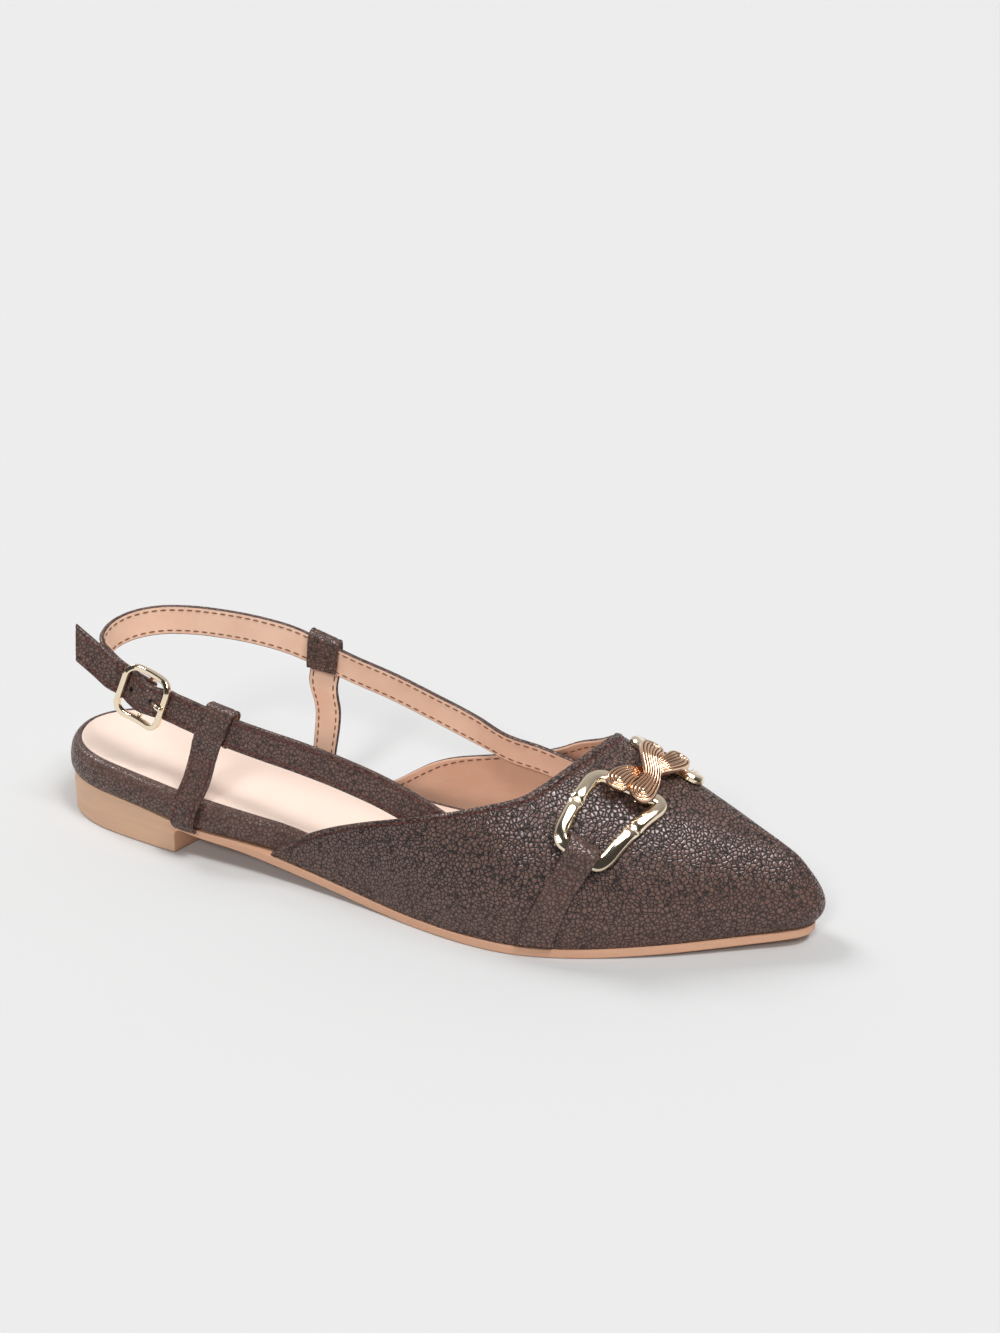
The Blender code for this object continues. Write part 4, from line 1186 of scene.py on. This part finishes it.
def strap_pieces():
    half = STRAP_WIDTH / 2
    inset = half - EDGE_STITCH
    path, lean = sling_path()
    obj = band("sling_strap", path, lean, half, STRAP_THICK, -1, STRAP_SKEW)
    settle(obj, "leather", "sling_strap_lateral")
    face = THREAD_SUNK - STRAP_THICK / 2
    end = arc_lengths(path)[-1] - TAIL_MARGIN
    low_end = end - STRAP_SKEW
    arc = np.linspace(STITCH_START, low_end, 300)
    lines = [band_line(path, lean, arc, -inset, face)]
    lines.append(band_line(path, lean, np.linspace(STITCH_START, end, 300), inset, face))
    lines.append(band_line(path, lean, np.linspace(low_end, end, 12), np.linspace(-inset, inset, 12), face))
    stitches("sling_strap_stitches", lines, *OUTSIDE)
    inner = edge_lines(path, lean, arc, inset, STRAP_THICK / 2)
    stitches("sling_strap_lining_stitches", inner, *INSIDE)
    path, lean, thick = heel_path()
    settle(band("heel_strap_band", path, lean, half, thick, 1), "leather", "heel_strap")
    arc = np.linspace(STITCH_START, arc_lengths(path)[-1] - FOLD_MARGIN, 300)
    outer = edge_lines(path, lean, arc, inset, -face)
    stitches("heel_strap_stitches", outer, *OUTSIDE)
    inner = edge_lines(path, lean, arc, inset, -STRAP_THICK / 2)
    stitches("heel_strap_lining_stitches", inner, *INSIDE)


TAB_SEAM = 8.4
TAB_TRIM = 14
TAB_FOOT_STITCH = 3.5
TAB_FOOT_LINING = 4.0


def keeper_piece(name, strap_rows, side):
    flank = list(TABS[name])
    middle = np.array(strap_rows[KEEPER_ROW])
    along = unit(np.subtract(strap_rows[KEEPER_ROW - 1], strap_rows[KEEPER_ROW + 1]))
    up = unit(TAB_LEAN[name])
    out = unit(np.cross(along, up)) * SIGN[side]
    loop = [middle + out * a + up * b for a, b in TAB_LOOP]
    level = unit([1.0, 0.0, -0.12])
    run = through(np.hstack([flank + loop, [level] * len(flank) + [along] * len(loop)]), 240)
    run = run[:-TAB_TRIM]
    path, across = run[:, :3], run[:, 3:]
    half = TAB_WIDTH / 2
    narrow = np.clip((middle[2] - path[:, 2]) / (middle[2] - flank[0][2]), 0.0, 1.0)
    taper = 1.0 - (1.0 - TAB_FOOT_WIDTH / TAB_WIDTH) * narrow
    way = -SIGN[side]
    settle(band(name + "_band", path, across, half, TAB_THICK, way, taper=taper), "leather", name)
    keys = np.linspace(0.0, arc_lengths(path)[-1], len(path))
    seam = keys[np.argmax(path[:, 2] > middle[2] - TAB_SEAM)]
    arch = half - EDGE_STITCH
    turns = np.linspace(0.0, math.pi, 30)
    leg = np.linspace(TAB_FOOT_STITCH, seam - arch, 60)
    arc = np.concatenate([leg, seam - arch + arch * np.sin(turns), leg[::-1]])
    offset = np.concatenate([np.full(len(leg), 1.0), np.cos(turns), np.full(len(leg), -1.0)])
    offset = offset * (half * np.interp(arc, keys, taper) - EDGE_STITCH)
    face = way * (TAB_THICK / 2 - THREAD_SUNK)
    u_line = band_line(path, across, arc, offset, face)
    stitches(name + "_stitches", [u_line], *OUTSIDE)
    arc = np.linspace(TAB_FOOT_LINING, seam + EDGE_STITCH, 80)
    inset = half * np.interp(arc, keys, taper) - EDGE_STITCH
    lined = edge_lines(path, across, arc, inset, -way * TAB_THICK / 2)
    stitches(name + "_lining_stitches", lined, *INSIDE)


# Buckle

def ring_section(half_wide, half_high, count):
    turns = 2 * np.pi * np.arange(count) / count
    return np.stack([half_wide * np.cos(turns), half_high * np.sin(turns)], axis=1)


def tube(path, up, section, closed):
    """Points and faces of a bar: one section for the whole path, or one for each of its points."""
    tangent = tangents(path, closed)
    rise = square_to(up, tangent)
    side = np.cross(rise, tangent)
    section = np.broadcast_to(section, (len(path), *np.shape(section)[-2:]))
    rings = path[:, None, :] + side[:, None, :] * section[..., :1] + rise[:, None, :] * section[..., 1:]
    return sweep(rings, closed)


FRAME_BOW = 1.5
PRONG_WIDE = 0.8
PRONG_HIGH = 0.5

# Prong: turns round the bar in degrees, then along the strap and out from the frame
PRONG_TURNS = (350.0, 315.0, 280.0, 245.0, 210.0, 175.0, 140.0, 105.0)
PRONG_RUN = ((1.6, -0.2), (3.2, 0.65), (4.9, 1.75), (6.5, 2.85), (7.6, 3.15), (8.8, 3.1))


def rounded_loop(half_long, half_tall, corner, turns, level, upright=()):
    """Points round a rectangle: turns in each round corner, shares along its level and its upright sides."""
    long, tall = half_long - corner, half_tall - corner
    loop = []
    for cx, cy, start in ((1, 1, 0.0), (-1, 1, 90.0), (-1, -1, 180.0), (1, -1, 270.0)):
        for turn in np.linspace(0.0, 90.0, turns):
            a = math.radians(start + turn)
            loop.append((cx * long + corner * math.cos(a), cy * tall + corner * math.sin(a)))
        if cx == cy:
            loop += [(cx * long * (1 - 2 * share), cy * half_tall) for share in level]
        else:
            loop += [(cx * half_long, cy * tall * (1 - 2 * share)) for share in upright]
    return np.array(loop)


def squared_section(half, power, count):
    """Square section with rounded corners."""
    turns = 2 * np.pi * (np.arange(count) + 0.5) / count
    grow = 1.0 / (np.abs(np.cos(turns)) ** power + np.abs(np.sin(turns)) ** power) ** (1 / power)
    return np.stack([grow * np.cos(turns), grow * np.sin(turns)], axis=1) * half


def buckle_pieces():
    half_long = BUCKLE_LONG / 2 - FRAME_RADIUS
    half_tall = BUCKLE_TALL / 2 - FRAME_RADIUS
    path = []
    for along, up in rounded_loop(half_long, half_tall, BUCKLE_CORNER, 8, np.linspace(0.12, 0.88, 7)):
        bow = FRAME_BOW * math.cos(math.pi / 2 * along / half_long)
        path.append(at_buckle(along, up, FRAME_OUT - bow))
    path = even_steps(np.array(path + path[:1]), 241)[:-1]
    path = (np.roll(path, 1, axis=0) + 2 * path + np.roll(path, -1, axis=0)) / 4
    points, faces = tube(path, BUCKLE_OUT, squared_section(FRAME_RADIUS, 6.0, 28), True)
    bar = []
    for s in np.linspace(-1.0, 1.0, 40):
        bar.append(at_buckle(0.0, s * half_tall, BAR_OUT + (FRAME_OUT - FRAME_BOW - BAR_OUT) * s ** 6))
    bar_points, bar_faces = tube(np.array(bar), BUCKLE_OUT, ring_section(BAR_RADIUS, BAR_RADIUS, 16), False)
    faces = faces + [[i + len(points) for i in face] for face in bar_faces]
    obj = mesh_piece("buckle_ring", np.concatenate([points, bar_points]), faces, [GOLD])
    settle(obj, "gold", "buckle_frame")
    radius = BAR_RADIUS + BAR_CLEAR + PRONG_RADIUS
    path = through(bar_turn(radius, PRONG_TURNS) + buckle_run(PRONG_RUN), 90)
    taper = np.sqrt(np.clip((len(path) - 0.9 - np.arange(len(path))) / 5.0, 0.02, 1.0))
    section = ring_section(PRONG_HIGH, PRONG_WIDE, 18)[None] * taper[:, None, None]
    obj = mesh_piece("buckle_pin", *tube(path, BUCKLE_UP, section, False), [GOLD])
    settle(obj, "gold", "buckle_prong")


SPARE_HOLES = (-4.5, 3.2)
HOLE_RADIUS = 0.85
HOLE_REACH = 24.0
HOLE_SIDES = 16

# Rings of a hole: share of its radius, rise over the leather
HOLE_RINGS = ((1.25, 0.0), (1.0, 0.05), (0.5, 0.03))


def strap_holes():
    """Punched holes of the sling strap: near-black discs just proud of the leather, painted shade standing
    in for the holes' insides, with a pressed rim.
    """
    path, lean = sling_path()
    tangent = tangents(path)
    side = square_to(lean, tangent)
    out = -np.cross(tangent, side)
    away = path - BUCKLE_MIDDLE
    along = away @ BUCKLE_ALONG
    near = np.linalg.norm(away, axis=1) < HOLE_REACH
    points, faces = [], []
    for spot in SPARE_HOLES:
        i = np.argmin(np.where(near, np.abs(along - spot), 1e9))
        base = len(points)
        for wide, rise in HOLE_RINGS:
            for a in 2 * np.pi * np.arange(HOLE_SIDES) / HOLE_SIDES:
                flat = tangent[i] * math.cos(a) + side[i] * math.sin(a)
                points.append(path[i] + out[i] * (STRAP_THICK / 2 + rise) + flat * (HOLE_RADIUS * wide))
        rings = grid_faces(len(HOLE_RINGS), HOLE_SIDES, False, True)
        faces += [[base + k for k in face] for face in rings]
        faces.append(list(range(len(points) - HOLE_SIDES, len(points))))
    settle(mesh_piece("sling_strap_hole_shades", np.array(points), faces, [HOLE_SHADE]), "leather")


# Chain ornament

CHAIN_FOOT = -40.0
CHAIN_KEY = 36.0
CHAIN_WIDE = 9.0
CHAIN_GRAIN = 0.75

# Sewn end of a chain strap: rows behind and ahead of the loop's start, columns in from each edge
SEW_BEHIND = 2
SEW_AHEAD = 26
SEW_IN = 6


def chain_strap_piece(name, side):
    """Flat strap lying on the upper, doubled near the link, its end looped over the link's outer bar."""
    corners = LINK_CORNERS[side]
    slope = (corners[1][0] - corners[0][0]) / (corners[1][1] - corners[0][1])
    foot = 1.0 if side == LATERAL else 179.0
    way = SIGN[side]
    start_up = CHAIN_LOOP[0][0]
    loop = through(np.array([(*row, 0.0) for row in CHAIN_LOOP]), 150)[:, :2]
    flat = [(up, 1.0) for up in np.linspace(CHAIN_FOOT, start_up, 50)[:-1]]
    run = np.concatenate([flat, loop])
    up, out = run[:, :1], run[:, 1:]
    share = edged_shares((0.0, 0.01, 0.03, 0.06), np.linspace(0.1, 0.9, 17))[None, :]
    columns = share.shape[1]
    turn = bar = np.full((len(run), columns), corners[0][0])
    for _ in range(6):
        key = CHAIN_KEY * (turn - foot) / (bar - foot)
        rear, front = follow(CHAIN_STRAP, 1, key), follow(CHAIN_STRAP, 2, key)
        x = rear + (front - rear) * share + CHAIN_FORWARD[side]
        bar = corners[0][0] + slope * (x - corners[0][1])
        u = station(x)
        step = np.linalg.norm(upper_point(u, bar + 2.0) - upper_point(u, bar - 2.0), axis=-1) / 4
        start = bar + way * start_up / step
        lower = foot + (start - foot) * (up - CHAIN_FOOT) / (start_up - CHAIN_FOOT)
        turn = np.where(up < start_up, lower, bar + way * up / step)
    rows = upper_offset(u, turn, np.broadcast_to(out, turn.shape))
    normal = unit(np.cross(np.gradient(rows, axis=0), np.gradient(rows, axis=1))) * -way
    soft = np.clip(np.minimum(share, 1 - share) * CHAIN_WIDE / EDGE_SOFT, 0.0, 1.0)
    half = (TAB_THICK / 2 * np.sqrt(1.0 - (1.0 - soft) ** 2 * 0.9))[..., None]
    rings = np.concatenate([rows + normal * half, (rows - normal * half)[:, ::-1]], axis=1)
    points, faces = sweep(rings)
    if side == MEDIAL:
        faces = [face[::-1] for face in faces]
    obj = mesh_piece(name + "_band", points, faces, [PEBBLED], relief=np.full(len(points), CHAIN_GRAIN))
    settle(obj, "leather", name)
    skin = np.concatenate([rows + normal * (TAB_THICK / 2), normal], axis=-1)
    first, last = len(flat) - SEW_BEHIND, len(flat) + SEW_AHEAD
    left, right = SEW_IN, columns - 1 - SEW_IN
    lines = [skin[first:last, left], skin[first:last, right]]
    lines += [skin[first, left:right], skin[last, left:right]]
    stitches(name + "_stitches", lines, THREAD_DARK, "leather", FINE_STITCH)


LINK_HALF = 2.25
LINK_HIGH = 2.2
LINK_CROWN = 1.45
LINK_PILLOW = 0.15
RIDGE_HALF = 0.42
RIDGE_HIGH = 0.1
RIDGE_WIDER = 0.05
SCOOP_HALF = 1.9
SCOOP_DEEP = 0.42
BEVEL_SHARE = 0.3
LINK_SOFT = 0.30


def link_section():
    """Bevelled bar: flat back, upright sides, chamfers and a pillowed crown."""
    right = (
        (LINK_HALF - 0.12, 0.0),
        (LINK_HALF, 0.12),
        (LINK_HALF, 1.1),
        (LINK_HALF - 0.14, 1.38),
    )
    spots = np.linspace(LINK_CROWN, -LINK_CROWN, 9)
    crown = [(a, LINK_HIGH - LINK_PILLOW * (a / LINK_CROWN) ** 2) for a in spots]
    return np.array(list(right) + crown + [(-a, b) for a, b in reversed(right)])


def link_piece(name, side):
    """Open link of four bars bent over the upper, each long bar scooped on both sides of a middle ridge."""
    corners = np.array(LINK_CORNERS[side])
    loop = rounded_loop(1.0, 1.0, LINK_SOFT, 14, np.linspace(0.02, 0.98, 23), np.linspace(0.02, 0.98, 101))
    s, t = (loop[:, :1] + 1) / 2, (loop[:, 1:] + 1) / 2
    outer = corners[0] * (1 - s) + corners[1] * s
    inner = corners[3] * (1 - s) + corners[2] * s
    turn, x = (outer * (1 - t) + inner * t).T
    lift = LINK_LIFT[1] + (LINK_LIFT[0] - LINK_LIFT[1]) * (1 - t[:, 0]) ** 2
    path = upper_offset(station(x), turn, lift)
    up = upper_normal(station(x), turn)
    ends = upper_point(station(corners[:, 1]), corners[:, 0])
    away = np.abs(loop[:, 1]) * np.linalg.norm(ends[1] - ends[2]) / 2
    on_bar = np.abs(loop[:, 0]) > 0.98
    ridge = np.where(on_bar, np.exp(-((away / RIDGE_HALF) ** 6)), 0.0)
    scoop = np.where(on_bar, np.exp(-((away / SCOOP_HALF) ** 2)), 0.0) * (1.0 - ridge)
    shape = RIDGE_HIGH * ridge - SCOOP_DEEP * scoop
    section = np.tile(link_section(), (len(path), 1, 1))
    section[:, 4:-4, 1] += shape[:, None]
    section[:, [3, -4], 1] += BEVEL_SHARE * shape[:, None]
    section[:, :, 0] *= (1.0 + RIDGE_WIDER * ridge)[:, None]
    obj = mesh_piece(name + "_bar", *tube(path, up, section, True), [GOLD])
    obj.data.set_sharp_from_angle(angle=math.radians(24))
    settle(obj, "gold", name)


LOBE_WIDE = 4.05
LOBE_LONG = 4.5
WAIST_WIDE = 2.7
WAIST_RUN = 6.0
STRANDS = 3.5
STRAND_DEEP = 0.75
KNOT_SIDES = 150


def knot_piece(name):
    """Band from a lobe on one link to a lobe on the other, its strands running round both ends."""
    x, turn = KNOT_MIDDLE
    u = station(x)
    middle = upper_point(u, turn)
    up = upper_normal(u, turn)
    forward = unit(upper_point(station(x + 3.0), turn) - upper_point(station(x - 3.0), turn))
    across = np.cross(up, forward)
    way = through(np.array(KNOT_BANDS[name]), 280)
    path = middle + way[:, :1] * across + way[:, 1:2] * forward + way[:, 2:] * up
    done = arc_lengths(path)
    left = np.minimum(done, done[-1] - done)
    broad = LOBE_WIDE - (LOBE_WIDE - WAIST_WIDE) * np.clip((left - LOBE_LONG) / WAIST_RUN, 0.0, 1.0)
    short = np.maximum(0.0, 1.0 - (left + 0.05) / KNOT_LOBE)
    share = np.sqrt(1.0 - short * short)
    tall = KNOT_HALF_HIGH * (0.55 + 0.45 * share)
    a = 2 * np.pi * (np.arange(KNOT_SIDES) + 0.5) / KNOT_SIDES
    cos, sin = np.cos(a), np.sin(a)
    spread = (np.sign(cos) * np.abs(cos) ** (2 / KNOT_ROUND))[None, :] * share[:, None]
    high = (np.sign(sin) * np.abs(sin) ** (2 / KNOT_ROUND))[None, :] * tall[:, None]
    strand = np.abs(np.sin(np.pi * STRANDS * (1.0 - np.hypot(spread, short[:, None]))))
    face = np.clip(sin * 2.5, 0.0, 1.0)[None, :]
    high = high + face * STRAND_DEEP * (strand ** 0.8 - 0.6)
    section = np.stack([spread * broad[:, None], high], axis=-1)
    relief = 1.0 - face * (1.0 - strand ** 0.6)
    obj = mesh_piece(name + "_rope", *tube(path, up, section, False), [ROSE], relief=relief.ravel())
    settle(obj, "rose_gold", name)


# Floor, light and camera

CAMERA_TURN = 25.8
CAMERA_RISE = 23.1
CAMERA_AWAY = 900.0
CAMERA_AIM = (82.7, 157.05, 0.0)
FOCAL_PIXELS = 2301.0
IMAGE_HEIGHT = 1333.0
SENSOR = 36.0
FLOOR_FAR = 14.0
FLOOR_SHADES = (0.575, 0.585)


def camera():
    turn, rise = math.radians(CAMERA_TURN), math.radians(CAMERA_RISE)
    back = np.array([math.sin(turn) * math.cos(rise), -math.cos(turn) * math.cos(rise), math.sin(rise)])
    data = bpy.data.cameras.new("camera")
    data.sensor_width = SENSOR
    data.lens = SENSOR * FOCAL_PIXELS / IMAGE_HEIGHT
    data.clip_end = 100.0
    obj = add_object("camera", data)
    obj.location = place(np.array(CAMERA_AIM) + back * CAMERA_AWAY)
    obj.rotation_mode = "QUATERNION"
    obj.rotation_quaternion = Vector(-back).to_track_quat("-Z", "Y")
    bpy.context.scene.camera = obj


def floor():
    mesh = bpy.data.meshes.new("floor")
    corners = [(x * FLOOR_FAR, y * FLOOR_FAR, 0.0) for x, y in ((-1, -1), (1, -1), (1, 1), (-1, 1))]
    mesh.from_pydata(corners, [], [(0, 1, 2, 3)])
    dim, pale = ((shade,) * 3 for shade in FLOOR_SHADES)
    n = Material("pale_floor", pale, 0.9)
    n.feed("Base Color", n.mix(n.noise(6.0, 3.0), dim, pale))
    mesh.materials.append(n.made)
    obj = add_object("floor", mesh)


def sun(name, direction, strength, angle):
    data = bpy.data.lights.new(name, "SUN")
    data.energy = strength
    data.angle = math.radians(angle)
    obj = add_object(name, data)
    obj.rotation_mode = "QUATERNION"
    obj.rotation_quaternion = Vector(direction).to_track_quat("Z", "Y")


BRIGHT_SIDE = (-0.40, 0.83, 0.38)
FACING = (-0.3, 0.8)
SURROUNDINGS = (0.05, 0.54)
BACKDROP = 0.85

# Lights: name, direction towards it, strength, width in degrees
SUNS = (
    ("shine", (0.40, -0.20, 0.89), 0.85, 28.0),
    ("glint", (0.44, -0.21, 0.87), 1.3, 13.0),
    ("behind", (-0.62, 0.16, 0.77), 1.35, 22.0),
    ("front", (0.10, -0.80, 0.58), 1.1, 13.0),
)


def lights():
    """Bright surroundings behind and above, dark ones in front, a pale backdrop and four soft lights."""
    world = bpy.data.worlds.new("studio")
    world.use_nodes = True
    n = Nodes(world)
    facing = n.add("ShaderNodeVectorMath", {0: n.coords, 1: BRIGHT_SIDE}, operation="DOT_PRODUCT")
    background = world.node_tree.nodes["Background"]
    background.inputs["Color"].default_value = (1.0, 1.0, 1.0, 1.0)
    backdrop = n.math("MULTIPLY", n.add("ShaderNodeLightPath").outputs["Is Camera Ray"], BACKDROP)
    around = n.ramp(facing.outputs["Value"], *FACING, *SURROUNDINGS)
    n.link(n.math("MAXIMUM", around, backdrop), background.inputs["Strength"])
    bpy.context.scene.world = world
    for row in SUNS:
        sun(*row)
    bpy.context.scene.view_settings.view_transform = "Standard"


sole_piece()
footbed_piece()
insole_piece()
vamp_piece()
vamp_stitches()
strap_pieces()
strap_holes()
keeper_piece("keeper_tab_lateral", LATERAL_RUN, LATERAL)
keeper_piece("keeper_tab_medial", HEEL_RUN, MEDIAL)
buckle_pieces()
chain_strap_piece("chain_strap_lateral", LATERAL)
chain_strap_piece("chain_strap_medial", MEDIAL)
link_piece("link_lateral", LATERAL)
link_piece("link_medial", MEDIAL)
for band_name in KNOT_BANDS:
    knot_piece(band_name)
camera()
floor()
lights()
